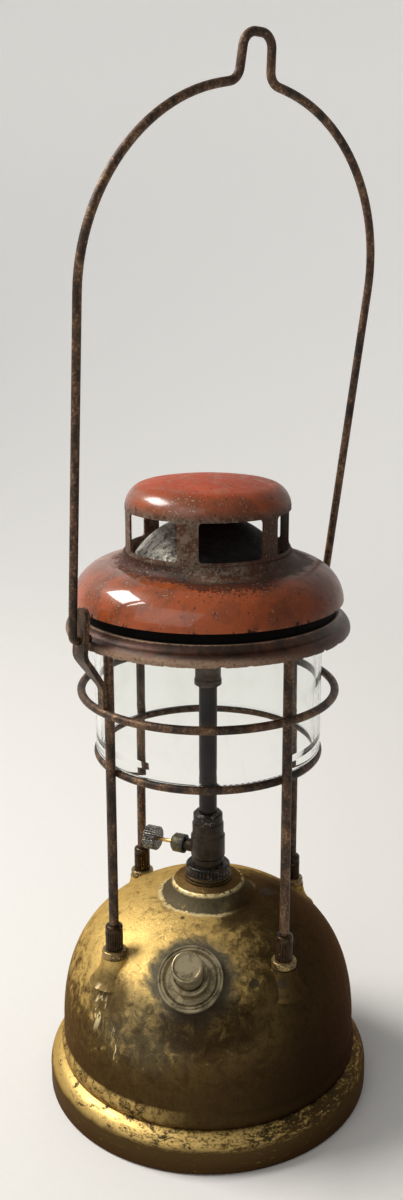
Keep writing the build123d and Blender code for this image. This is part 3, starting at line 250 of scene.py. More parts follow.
def dress(slot_name, material):
    """Gives every CAD node that the record puts in this slot its finish."""
    names = [part["node"] for part in frame["record"]["subparts"] if part["material_slot"] == slot_name]
    if not names:
        raise RuntimeError("no node has the material slot " + slot_name)
    for name in names:
        node = frame["nodes"][name]
        for place in node.material_slots:
            place.material = material


# ------------------------------------------------------------------ finishes
def tank_finish(colours, wear):
    """Dull brass: mottled gold on the shoulder, brown patina below, grey tarnish by the fittings."""
    s = Shader("tank_brass")
    broad = s.noise(34, 5, 0.6, 0.6, seed=3)
    patches = s.noise(13, 7, 0.66, 0.9, seed=11)
    mottle = s.noise(5.5, 7, 0.7, 0.7, seed=17)
    flecks = s.noise(2.6, 5, 0.7, 0.3, seed=5)
    fine = s.noise(0.8, 3, 0.6, seed=8)
    high = s.step(s.z + 16 * (broad - 0.5), 62, 92)
    left = s.step(s.x + 18 * (broad - 0.5), 30, -40)
    # Painted shade: the right side, away from the key lamp, is painted dark brown and keeps less gold and
    # grey tarnish; this fades towards the back.
    right = s.step(s.x + 0.35 * s.y + 24 * (broad - 0.5), -10, 38)
    right = right.most(s.step(s.x + 9 * (mottle - 0.5), 4, 18) * s.step(s.z, 98, 105))
    right = right * s.step(s.y + 14 * (broad - 0.5), 46, 12)
    low = s.step(s.z + 14 * (patches - 0.5), 72, 34)

    # grey tarnish round the pump, down from it and on the raised platform's flank
    pump_gap = s.distance(PUMP_FACE) + 18 * (patches - 0.5) + 7 * (mottle - 0.5)
    pump_tarnish = s.step(pump_gap, 27, 18)
    below_pump = s.distance(BELOW_PUMP, (0.8, 0.8, 1.2)) + 22 * (patches - 0.5) + 8 * (mottle - 0.5)
    pump_tarnish = pump_tarnish.most(0.5 * s.step(below_pump, 30, 14))
    ring_gap = s.radius + 3.4 * (mottle - 0.5) + 3.0 * (patches - 0.5)
    sooty_side = s.step(s.x - 0.3 * s.y + 7 * (mottle - 0.5), 24, 14)
    sooty_side = sooty_side * s.step(s.y + 6 * (patches - 0.5), 16, 6)
    flank = s.step(ring_gap, 25.4, 24.2) * s.step(s.radius, PLATFORM_R - 0.3, PLATFORM_R + 0.8) * sooty_side
    worn_line = s.step(ring_gap, 27.0, 25.6) * s.step(ring_gap, 24.0, 24.8)
    worn_line = worn_line * sooty_side * s.step(s.radius, 22, 23)
    edge_gap = s.radius + 1.2 * (flecks - 0.5)
    edge = s.step(edge_gap, PLATFORM_R - 1.4, PLATFORM_R - 0.7)
    edge = edge * s.step(edge_gap, PLATFORM_R + 0.7, PLATFORM_R)
    platform = s.step(s.radius, PLATFORM_R - 0.4, PLATFORM_R - 1.0) * s.step(s.z, 108, 110)
    tarnish = pump_tarnish.most(flank * 0.9) * s.step(mottle, 0.30, 0.42)

    # Gold is brass rubbed clean; it leans to the top and the left as a painted highlight where the key lamp
    # falls, and away from the bottom and the painted shade at the right.
    gold = patches * 0.36 + mottle * 0.64 + 0.16 * high + 0.09 * left - 0.20 * right - 0.16 * low
    gold_mask = s.step(gold, 0.52, 0.74)
    gold_flecks = s.step(flecks + 0.16 * high - 0.26 * right - 0.10 * low, 0.60, 0.70)
    gold_mask = gold_mask.most(0.6 * gold_flecks)
    colour = s.blend(s.step(s.z + 20 * (mottle - 0.5), 34, 84), colours.patina, colours.patina_light)
    colour = s.blend(s.step(mottle, 0.56, 0.36) * 0.6, colour, colours.brown)
    # painted shade on the right side
    colour = s.blend(0.85 * right, colour, colours.dirt_and_shade_brown)
    colour = s.blend(gold_mask * (1.0 - 0.55 * right), colour, colours.brass)
    colour = s.blend(tarnish * (1.0 - 0.6 * right), colour, colours.tarnish)
    colour = s.blend(0.55 * flank, colour, colours.tarnish_dark)
    colour = s.blend(platform * 0.9, colour, colours.brown_light)
    # Painted shade: the platform darker at its right.
    colour = s.blend(platform * s.step(s.x + 8 * (mottle - 0.5), -2, 10) * 0.7, colour, colours.brown)
    colour = s.blend(0.8 * worn_line * s.step(flecks, 0.36, 0.52), colour, colours.brass_pale)
    colour = s.blend(platform * s.step(mottle, 0.44, 0.58) * 0.5, colour, colours.patina)
    worn_edge = edge * sooty_side * s.step(flecks + 0.5 * (mottle - 0.5), 0.40, 0.52)
    colour = s.blend(0.85 * worn_edge, colour, colours.brass_pale)

    # The bead rubbed to brass at the left: partly wear, partly a painted highlight along its lit side.
    bead = s.step(s.z, 29.5, 27.5) * s.step(s.x + 10 * (patches - 0.5), 6, -34)
    bead = bead * s.step(mottle + 0.5 * (fine - 0.5), 0.34, 0.60)
    colour = s.blend(0.8 * bead, colour, colours.brass)

    # dark spots, painted shade low on the right, painted shadow under the pump, the stains right of the pump
    # and the streaks scraped at the left
    dark = 0.6 * s.step(flecks, 0.42, 0.34) * s.step(patches, 0.42, 0.58)
    # Painted shade: darker low on the tank and towards the right.
    low_right_shade = s.step(s.z + 12 * (patches - 0.5), 70, 42) * s.step(s.x + 14 * (mottle - 0.5), -14, 30)
    dark = dark.most(0.45 * low_right_shade)
    # Painted shadow under the pump, partly grime.
    pump_shadow_gap = s.distance(PUMP_SHADOW_AND_GRIME, (0.55, 0.7, 1.1)) + 8 * (patches - 0.5) + 4 * (mottle - 0.5)
    dark = dark.most(0.75 * s.step(pump_shadow_gap, 19, 9))
    colour = s.blend(dark, colour, colours.dirt_and_shade_brown)
    spots = 0.0
    for centre, size in TANK_SPOTS:
        spot = s.step(s.distance(centre, (1, 1, 1.5)) + 2.0 * (flecks - 0.5), size, size * 0.72)
        spots = spot.most(spots)
    colour = s.blend(0.8 * spots, colour, colours.tarnish_dark)
    smudge_gap = s.distance(SMUDGE, (0.8, 0.8, 1.1)) + 10 * (patches - 0.5) + 5 * (mottle - 0.5)
    smudge = s.step(smudge_gap, 16, 8)
    colour = s.blend(0.8 * smudge, colour, colours.patina)
    streaks = s.noise(2.4, 3, 0.6, 0.2, stretch=(1, 1, 0.16), seed=21)
    scraped = 0.0
    for centre, reach in TANK_SCRAPES:
        scrape = s.step(s.distance(centre, (1.5, 1.5, 0.45)), reach, reach * 0.4)
        scraped = scrape.most(scraped)
    scraped = scraped * s.step(streaks, 0.53, 0.60)
    colour = s.blend(scraped * 0.85, colour, colours.brass_pale)
    grain = s.noise(1.3, 3, 0.55, stretch=(1, 1, 0.25), seed=31)
    colour = s.tint(0.52 + 0.50 * grain + 0.50 * mottle, colour)

    rough = 0.60 - 0.08 * gold_mask + 0.08 * tarnish + 0.36 * (fine - 0.5) + 0.30 * (mottle - 0.5)
    metallic = 0.80 + 0.08 * gold_mask - 0.30 * tarnish.most(spots).most(smudge)
    dents = s.bump(broad, 1.4, 0.45)
    skin = s.bump(mottle + flecks + 0.8 * fine - 0.8 * scraped, 0.34, wear.relief, under=dents)
    return s.surface(colour, rough, metallic, skin, Specular_Tint=colours.brass_edge)


def base_finish(colours, wear):
    """Base pressing: the top is rubbed to bright streaks with dark blotches, the side is brown, and the right
    is browned as painted shade.
    """
    s = Shader("base_brass")
    streaks = s.noise(7, 6, 0.68, 0.4, stretch=(1, 1, 5.5), seed=4)
    blotches = s.noise(11, 5, 0.62, 0.8, stretch=(1, 1, 2.2), seed=9)
    fine = s.noise(1.4, 4, 0.65, stretch=(1, 1, 2.0), seed=2)
    broad = s.noise(40, 3, 0.5, seed=14)
    top = s.step(s.z + 2.2 * (blotches - 0.5), 11.5, 15.5)
    # Painted shade: the right side is browned and less rubbed; the rubbing leans to the left.
    right = s.step(s.x + 20 * (broad - 0.5), 6, 70) * s.step(s.y + 14 * (broad - 0.5), 50, 14)
    left = s.step(s.x + 20 * (broad - 0.5), -10, -60)
    rubbed = top * s.step(streaks + 0.7 * (fine - 0.5) - 0.20 * right + 0.14 * left, 0.30, 0.56)
    rubbed = rubbed * s.step(blotches + 0.4 * (fine - 0.5), 0.32, 0.46)
    gold_side = s.step(streaks + 0.2 * (fine - 0.5), 0.60, 0.74) * (1 - top)
    colour = s.blend(s.step(s.z + 3 * (blotches - 0.5), 2, 12), colours.brown, colours.patina)
    colour = s.blend(0.6 * top * s.step(blotches, 0.54, 0.38), colour, colours.tarnish_dark)
    colour = s.blend(0.45 * right, colour, colours.brown)
    colour = s.blend(rubbed, colour, colours.brass)
    colour = s.blend(0.35 * gold_side, colour, colours.brass)
    edge = s.step(s.z, 2.6, 0.6) * s.step(fine, 0.4, 0.6)
    colour = s.blend(0.5 * edge, colour, colours.dirt_and_shade_brown)
    colour = s.tint(0.8 + 0.4 * fine, colour)
    rough = 0.52 - 0.08 * rubbed + 0.3 * (fine - 0.5)
    skin = s.bump(streaks + 0.6 * fine, 0.18, wear.relief)
    return s.surface(colour, rough, 0.72 + 0.14 * rubbed, skin, Specular_Tint=colours.brass_edge)


def enamel_finish(slot_name, colours, wear, soot_low, soot_high, chip_height, polish, neck=None):
    """Vitreous orange-brown enamel under a film, sooty round the vents, chipped to the iron, with painted
    shade on the right.
    """
    s = Shader(slot_name)
    clouds = s.noise(22, 6, 0.62, 0.8, seed=6)
    blots = s.noise(6.0, 7, 0.68, 0.7, seed=13)
    flecks = s.noise(1.5, 4, 0.65, seed=17)
    dust = s.noise(1.1, 2, 0.5, seed=71)
    film = s.step(clouds + 0.45 * (blots - 0.5), 0.34, 0.66)
    near_vents = s.z + 7.0 * (blots - 0.5) + 4.0 * (clouds - 0.5) + 2.0 * (flecks - 0.5)
    soot = s.step(near_vents, soot_low[0], soot_low[1]) * s.step(near_vents, soot_high[1], soot_high[0])
    if neck:
        ragged = 14.0 * (blots - 0.5) + 8.0 * (clouds - 0.5) + 7.0 * (flecks - 0.5)
        # the soot band is narrower at the left
        left = s.step(s.x, 4, -16)
        from_neck = s.radius - 0.05 * s.x + 6.0 * left + ragged
        soot = soot * s.step(from_neck, neck + 3.0, neck)
    colour = s.blend(0.75 * film, colours.enamel, colours.enamel_brown)
    dusty = s.step(s.z, 318, 323) * s.step(blots + 0.4 * (flecks - 0.5), 0.30, 0.56)
    colour = s.blend(0.8 * dusty, colour, colours.dust)
    bright = s.step(blots - 0.3 * film, 0.54, 0.70)
    colour = s.blend(0.4 * bright, colour, colours.enamel_light)
    # Painted shade: the right side, away from the key lamp, darkened; it fades towards the back.
    right = s.step(s.x + 0.3 * s.y + 20 * (clouds - 0.5), -18, 52) * s.step(s.y + 20 * (clouds - 0.5), 50, 14)
    colour = s.blend(0.55 * right, colour, colours.enamel_painted_shade)
    colour = s.blend(0.86 * soot, colour, colours.soot)
    # dry pale deposit in the soot at the left, partly a painted sheen where the key lamp falls on the neck,
    # kept off the painted shade at the right; black burnt crust at the right
    ashy = soot * s.step(blots + 0.5 * (flecks - 0.5) - 0.16 * right, 0.38, 0.62) * (1.0 - 0.9 * right)
    colour = s.blend((0.6 if neck else 0.4) * ashy, colour, colours.ash)
    burnt = 0.0
    if neck:
        gap = from_neck + 13.0 * (flecks - 0.5)
        burnt = s.step(gap, neck + 9.5, neck + 6.0) * s.step(gap, neck - 3.0, neck)
        burnt = burnt * s.step(s.x, 46, 30) * s.step(s.z, 276, 278)
        colour = s.blend(0.8 * burnt, colour, colours.black)
    pits = s.step(flecks, 0.69, 0.74)
    colour = s.blend(0.6 * pits, colour, colours.ash)
    specks = s.step(s.noise(2.9, 3, 0.6, seed=29), 0.66, 0.70)
    colour = s.blend(0.8 * specks, colour, colours.black)
    lint = s.step(dust + 0.25 * (clouds - 0.5), 0.66, 0.71)
    colour = s.blend(0.7 * lint * (1.0 - 0.7 * right), colour, colours.ash)
    chips = s.step(blots + 0.25 * (flecks - 0.5), 0.58, 0.63)
    chips = chips * s.step(s.z + 2.4 * (flecks - 0.5), chip_height + 1.6, chip_height)
    colour = s.blend(0.85 * chips, colour, colours.black)
    colour = s.tint(0.86 + 0.28 * flecks, colour)
    hidden = soot.most(chips).most(burnt) if neck else soot.most(chips)
    rough = 0.30 + 0.08 * film + 0.20 * dusty + 0.26 * hidden
    rough = rough + 0.22 * specks + 0.14 * (flecks - 0.5) + 0.25 * pits
    orange_peel = s.bump(s.noise(5, 2, 0.5, seed=40), 0.25, 0.35)
    relief = ashy * 0.6 - 0.9 * specks - chips + 0.6 * soot * flecks + 0.7 * pits + 0.35 * blots
    skin = s.bump(relief, 0.24, wear.relief, under=orange_peel)
    coat = (0.8 - 0.8 * hidden.most(dusty)) * (1.0 - 0.85 * s.step(s.x, 4, 34)) * s.step(s.z, 321, 318.5)
    metallic = 0.35 * chips + 0.35 * ashy
    return s.surface(
        colour, rough, metallic, skin, Coat_Weight=coat, Coat_Roughness=polish, Specular_IOR_Level=0.2
    )


def wire_finish(slot_name, dark, rust, worn, wear, pit=1.1):
    """Iron wire gone brown and nearly black, finely pitted, with pale dry spots."""
    s = Shader(slot_name)
    patches = s.noise(7, 6, 0.68, 0.5, stretch=(1, 1, 0.5), seed=7)
    pits = s.noise(pit, 5, 0.7, seed=12)
    dry = s.step(pits + 0.7 * (patches - 0.5), 0.56, 0.68)
    colour = s.blend(s.step(patches + 0.4 * (pits - 0.5), 0.36, 0.64), dark, rust)
    colour = s.blend(0.55 * dry, colour, worn)
    colour = s.tint(0.55 + 0.9 * pits, colour)
    rough = 0.52 - 0.10 * dry + 0.4 * (pits - 0.5)
    skin = s.bump(pits + 0.4 * patches, 0.35, wear.relief)
    return s.surface(colour, rough, 0.45, skin)


def rim_finish(colours, wear):
    """Rim pressing: dark brown film above; pale on the lip, partly bare metal and partly a painted highlight,
    and pale bare metal low on the left, with painted shade at the right.
    """
    s = Shader("rim_metal")
    patches = s.noise(8, 6, 0.66, 0.7, seed=16)
    fine = s.noise(1.3, 5, 0.7, seed=19)
    # Painted shade: the pale lip fades out towards the right.
    right = s.step(s.x + 0.3 * s.y + 16 * (patches - 0.5), -34, 18)
    height = s.z + 2.2 * (patches - 0.5) + 1.2 * (fine - 0.5)
    # The pale lip is partly bare metal, partly a painted highlight along the top bead.
    lip = s.step(height, RIM_TOP_Z - 0.8, RIM_TOP_Z - 0.1) * (1.0 - 0.7 * right)
    # Painted shade: the pale band fades out at the far right.
    far_right = s.step(s.x + 0.3 * s.y + 16 * (patches - 0.5), -6, 44)
    band = s.step(height, RIM_EDGE_Z + 4.4, RIM_EDGE_Z + 2.0) * (1.0 - 0.9 * far_right)
    colour = s.blend(s.step(patches, 0.36, 0.64), colours.rim_brown, colours.rim_red)
    bare = lip.most(0.75 * band * s.step(fine, 0.30, 0.50))
    colour = s.blend(0.8 * bare, colour, colours.bare)
    rust = s.step(fine + 0.4 * (patches - 0.5), 0.56, 0.66) * s.step(height, RIM_EDGE_Z + 2.0, RIM_EDGE_Z)
    colour = s.blend(0.85 * rust, colour, colours.dirt_and_shade_brown)
    colour = s.tint(0.66 + 0.68 * fine, colour)
    rough = 0.40 + 0.16 * band + 0.30 * (fine - 0.5) - 0.06 * lip
    skin = s.bump(fine + 0.6 * patches - rust, 0.4, wear.relief)
    bites = s.noise(3.6, 4, 0.7, 0.4, stretch=(1, 1, 0.4), seed=52)
    whole = s.step(s.z - 5.0 * (bites - 0.5), RIM_EDGE_Z - 0.05, RIM_EDGE_Z + 0.05)
    return s.surface(colour, rough, 0.4 + 0.3 * bare, skin, Alpha=whole)


def turned_finish(slot_name, base, dirt, bright, wear, size, metallic, gloss, rub=0.62, **plain):
    """Small turned fitting: base metal, dirt in patches and bright rubbed specks."""
    s = Shader(slot_name)
    patches = s.noise(size, 5, 0.62, 0.5, seed=23)
    fine = s.noise(0.8, 4, 0.65, seed=27)
    tool_marks = s.noise(0.5, 2, 0.5, stretch=(0.3, 0.3, 3.0), seed=33)
    colour = s.blend(s.step(patches, 0.40, 0.64), base, dirt)
    rubbed = s.step(fine + 0.5 * (patches - 0.5), rub, rub + 0.12)
    colour = s.blend(0.75 * rubbed, colour, bright)
    colour = s.tint(0.78 + 0.44 * fine, colour)
    rough = gloss + 0.24 * (patches - 0.5) + 0.16 * (fine - 0.5) - 0.06 * rubbed
    skin = s.bump(fine + 0.4 * tool_marks, 0.12, wear.relief)
    return s.surface(colour, rough, metallic, skin, **plain)


def cowl_finish(colours):
    """Burnt sheet under the cap, wrinkled: pale silvery metal on the left, partly a painted highlight, and
    black on the right, partly soot and partly painted shade.
    """
    s = Shader("cowl_metal")
    wrinkles = s.noise(7, 5, 0.62, 1.6, seed=61)
    fine = s.noise(1.2, 4, 0.65, seed=62)
    # Painted highlight of pale metal at the left, painted shade of black at the right.
    bare = s.step(s.x + 12 * (wrinkles - 0.5), -4, -17)
    colour = s.blend(bare, colours.black, colours.cowl)
    colour = s.blend(0.7 * s.step(wrinkles + 0.4 * (fine - 0.5), 0.50, 0.36), colour, colours.black)
    rough = 0.62 - 0.32 * bare + 0.2 * (fine - 0.5)
    skin = s.bump(wrinkles + 0.25 * fine, 3.5, 1.0)
    return s.surface(colour, rough, 0.1 + 0.8 * bare, skin, Specular_IOR_Level=0.3)


def soft_finish(slot_name, base, worn, wear, gloss=0.6):
    """Leather, rubber or packing: no metal, a fine grain."""
    s = Shader(slot_name)
    grain = s.cells(0.9, seed=3)
    patches = s.noise(4, 4, 0.6, seed=37)
    colour = s.blend(s.step(patches + 0.3 * grain, 0.45, 0.75), base, worn)
    skin = s.bump(grain, 0.12, wear.relief)
    return s.surface(colour, gloss + 0.2 * (patches - 0.5), 0.0, skin)


def glass_finish():
    """Clear blown glass with faint smears and a slow ripple."""
    s = Shader("clear_glass")
    smears = s.noise(16, 5, 0.6, 1.2, stretch=(1, 1, 0.5), seed=25)
    ripple = s.bump(s.noise(30, 2, 0.5, seed=44), 0.5, 0.35)
    rough = 0.004 + 0.016 * s.step(smears, 0.55, 0.75)
    colour = s.blend(s.step(smears, 0.5, 0.8), (0.97, 0.985, 0.975, 1), (0.90, 0.91, 0.88, 1))
    return s.surface(colour, rough, 0.0, ripple, Transmission_Weight=1.0, IOR=1.12, Specular_IOR_Level=1.0)


# ------------------------------------------------------------------ settings
def colour_setting(label, text, default):
    return bpy.props.FloatVectorProperty(
        name=label, description=text, default=default, size=4, min=0.0, max=1.0, subtype="COLOR"
    )


class LanternColours(bpy.types.PropertyGroup):
    """Colours of the lantern's metals and enamel."""

    brass: colour_setting("Brass", "Brass rubbed clean of patina", srgb(200, 170, 104))
    brass_edge: colour_setting("Brass edge", "Tint of brass seen at a shallow angle", srgb(222, 184, 140))
    brass_pale: colour_setting("Pale brass", "Freshly scraped brass", srgb(236, 218, 168))
    patina: colour_setting("Patina", "Olive-brown patina low on the tank", srgb(74, 58, 32))
    patina_light: colour_setting("Light patina", "Patina on the shoulder", srgb(118, 98, 58))
    brown: colour_setting("Brown", "Brown film on brass", srgb(62, 44, 22))
    brown_light: colour_setting("Heat brown", "Heat-browned brass round the boss", srgb(142, 114, 74))
    # dark brown of dirt in pits and corners, also used as painted shade on the tank's right side, low down
    # and under the pump
    dirt_and_shade_brown: colour_setting("Dark brown", "Dirt in pits and corners", srgb(32, 20, 10))
    tarnish: colour_setting("Tarnish", "Grey tarnish by the fittings", srgb(84, 80, 66))
    tarnish_dark: colour_setting("Dark tarnish", "Grey-green blotches", srgb(44, 42, 34))
    enamel: colour_setting("Enamel", "Vitreous enamel of the hood", srgb(160, 76, 36))
    enamel_light: colour_setting("Light enamel", "Enamel where the film is thin", srgb(186, 108, 62))
    enamel_brown: colour_setting("Stained enamel", "Enamel under the brown film", srgb(98, 54, 30))
    # painted shade: the enamel darkened for its right side
    enamel_painted_shade: colour_setting("Darkened enamel", "Enamel browned on the right", srgb(74, 34, 16))
    dust: colour_setting("Dust", "Dry brown film on the cap's top", srgb(176, 64, 32))
    black: colour_setting("Black", "Burnt crust, chips and specks", srgb(20, 15, 12))
    soot: colour_setting("Soot", "Burnt enamel round the vents", srgb(58, 42, 32))
    ash: colour_setting("Ash", "Pale crust and pinholes", srgb(158, 146, 128))
    # pale enough to stand for the highlight on the cowl's left
    cowl: colour_setting("Cowl", "Bare metal of the inner cowl", srgb(196, 192, 180))
    rim_brown: colour_setting("Rim", "Brown film on the rim", srgb(46, 28, 19))
    rim_red: colour_setting("Rim rust", "Red-brown patches on the rim", srgb(82, 48, 32))
    # also the painted highlight along the rim's top lip
    bare: colour_setting("Bare metal", "Pale bare metal on the rim", srgb(186, 156, 130))
    wire_dark: colour_setting("Wire", "Darkest oxide on the wire", srgb(36, 27, 20))
    wire_rust: colour_setting("Wire rust", "Brown oxide on the wire", srgb(100, 72, 50))
    wire_worn: colour_setting("Worn wire", "Rubbed spots on the wire", srgb(152, 126, 96))


class LanternWear(bpy.types.PropertyGroup):
    """How worn the surfaces are."""

    relief: bpy.props.FloatProperty(
        name="Relief",
        description="Strength of pits, scratches and tool marks",
        default=0.6,
        min=0.0,
        max=1.0,
        subtype="FACTOR",
    )


class LanternStage(bpy.types.PropertyGroup):
    """Studio floor, lamps and camera."""

    floor_colour: colour_setting("Floor", "Colour of the floor and backdrop", (0.80, 0.79, 0.77, 1.0))
    key_power: bpy.props.FloatProperty(
        name="Key lamp",
        description="Power of the large lamp at the left",
        default=12.0,
        min=0.0,
        unit="POWER",
    )
    fill: bpy.props.FloatProperty(
        name="Fill", description="Strength of the even light from all sides", default=0.22, min=0.0
    )
    camera_side: bpy.props.FloatProperty(
        name="Camera side",
        description="Angle of the camera to the right of the pump's side",
        default=math.radians(6.4),
        subtype="ANGLE",
    )
    camera_distance: bpy.props.FloatProperty(
        name="Camera distance",
        description="Level distance from the lantern's axis",
        default=0.5691,
        min=0.1,
        unit="LENGTH",
    )
    camera_height: bpy.props.FloatProperty(
        name="Camera height", description="Height above the floor", default=0.415, min=0.0, unit="LENGTH"
    )
    camera_tilt: bpy.props.FloatProperty(
        name="Camera tilt",
        description="How far the camera looks down",
        default=math.radians(13.87),
        subtype="ANGLE",
    )


def colours():
    return bpy.context.scene.lantern_colours


def wear():
    return bpy.context.scene.lantern_wear


def dress_turned(slot_name, base, dirt, bright, **values):
    """Finishes a slot of turned fittings."""
    dress(slot_name, turned_finish(slot_name, base, dirt, bright, wear(), **values))


# ------------------------------------------------------------------ operators
class LANTERN_OT_tank(bpy.types.Operator):
    """Finishes the tank and its flared base"""

    bl_idname = "lantern.tank"
    bl_label = "Tank and base"

    def execute(self, context):
        c = colours()
        dress("tank_brass", tank_finish(c, wear()))
        dress("base_brass", base_finish(c, wear()))
        dress_turned("boss_brass", c.patina, c.brown, c.brass, size=6, metallic=0.75, gloss=0.36)
        return {"FINISHED"}


class LANTERN_OT_cage(bpy.types.Operator):
    """Finishes the struts, rings, brackets, collars and ferrules"""

    bl_idname = "lantern.cage"
    bl_label = "Cage"

    def execute(self, context):
        c = colours()
        dress("frame_steel", wire_finish("frame_steel", c.wire_dark, c.wire_rust, c.wire_worn, wear()))
        collar = (srgb(150, 126, 80), c.patina, c.brass_pale)
        dress_turned("collar_brass", *collar, size=5, metallic=0.75, gloss=0.40, rub=0.58)
        dress_turned("ferrule_bronze", c.brown, c.dirt_and_shade_brown, c.brass, size=5, metallic=0.7, gloss=0.36)
        dress("rim_metal", rim_finish(c, wear()))
        return {"FINISHED"}


class LANTERN_OT_bail(bpy.types.Operator):
    """Finishes the wire bail"""

    bl_idname = "lantern.bail"
    bl_label = "Bail"

    def execute(self, context):
        c = colours()
        dress("bail_steel", wire_finish("bail_steel", c.wire_dark, c.wire_rust, c.wire_worn, wear(), pit=1.4))
        return {"FINISHED"}


class LANTERN_OT_hood(bpy.types.Operator):
    """Finishes the hood, its vented cap and the burner inside"""

    bl_idname = "lantern.hood"
    bl_label = "Hood and burner"

    def execute(self, context):
        c = colours()
        bell = {"soot_low": (277, 279), "soot_high": (330, 331), "chip_height": 266.0, "polish": 0.05}
        cap = {"soot_low": (270, 271), "soot_high": (309.5, 315.5), "chip_height": 288.5, "polish": 0.2}
        dress("hood_enamel", enamel_finish("hood_enamel", c, wear(), neck=47.0, **bell))
        dress("cap_enamel", enamel_finish("cap_enamel", c, wear(), **cap))
        dress("cowl_metal", cowl_finish(c))
        dress_turned("burner_metal", srgb(84, 74, 64), c.soot, c.ash, size=6, metallic=0.6, gloss=0.5)
        # Near black with little reflection: partly sooty metal, partly painted shade in the dark gap between
        # the glass and the hood.
        dress_turned(
            "skirt_metal",
            srgb(9, 7, 6),
            srgb(6, 5, 4),
            srgb(40, 30, 24),
            size=8,
            metallic=0.1,
            gloss=0.85,
            rub=0.70,
            Specular_IOR_Level=0.1,
        )
        return {"FINISHED"}


class LANTERN_OT_glass(bpy.types.Operator):
    """Finishes the glass"""

    bl_idname = "lantern.glass"
    bl_label = "Glass"

    def execute(self, context):
        dress("clear_glass", glass_finish())
        return {"FINISHED"}


class LANTERN_OT_cock(bpy.types.Operator):
    """Finishes the cock, the vaporiser and the side control"""

    bl_idname = "lantern.cock"
    bl_label = "Cock, vaporiser and control"

    def execute(self, context):
        c = colours()
        black = srgb(26, 22, 20)
        table = (
            ("vaporiser_steel", srgb(30, 27, 28), srgb(46, 36, 30), srgb(96, 88, 80), 9, 0.6, 0.42, 0.66),
            ("union_black", black, srgb(46, 37, 28), srgb(170, 158, 138), 4, 0.55, 0.42, 0.58),
            ("cock_bronze", srgb(56, 46, 32), srgb(36, 26, 18), c.brass, 7, 0.6, 0.42, 0.68),
            ("washer_grey", srgb(110, 100, 82), c.brown, c.brass_pale, 4, 0.7, 0.36, 0.6),
            ("gland_bronze", srgb(92, 88, 68), srgb(60, 52, 38), srgb(160, 148, 120), 4, 0.6, 0.42, 0.6),
            ("spindle_brass", srgb(222, 190, 130), srgb(190, 150, 90), c.brass_pale, 4, 0.85, 0.28, 0.6),
            ("knob_black", srgb(74, 71, 68), srgb(28, 26, 25), srgb(190, 184, 172), 4, 0.6, 0.36, 0.52),
        )
        for slot_name, base, dirt, bright, size, metallic, gloss, rub in table:
            dress_turned(slot_name, base, dirt, bright, size=size, metallic=metallic, gloss=gloss, rub=rub)
        dress("seal_rubber", soft_finish("seal_rubber", srgb(26, 25, 25), srgb(44, 42, 40), wear()))
        return {"FINISHED"}


class LANTERN_OT_pump(bpy.types.Operator):
    """Finishes the filler cap, the pump and what is inside the tank"""

    bl_idname = "lantern.pump"
    bl_label = "Filler cap and pump"

    def execute(self, context):
        c = colours()
        bronze = (srgb(160, 148, 118), srgb(100, 88, 64), srgb(224, 214, 188))
        steel = (srgb(150, 148, 144), srgb(96, 90, 82), srgb(210, 208, 204))
        dress_turned("pump_bronze", *bronze, size=6, metallic=0.72, gloss=0.36)
        dress_turned("inner_brass", c.brass, c.patina, c.brass_pale, size=9, metallic=0.85, gloss=0.34)
        dress_turned("rod_steel", *steel, size=6, metallic=0.9, gloss=0.3)
        leather = (srgb(92, 56, 34), srgb(134, 92, 58))
        dress("pump_leather", soft_finish("pump_leather", *leather, wear(), gloss=0.5))
        return {"FINISHED"}


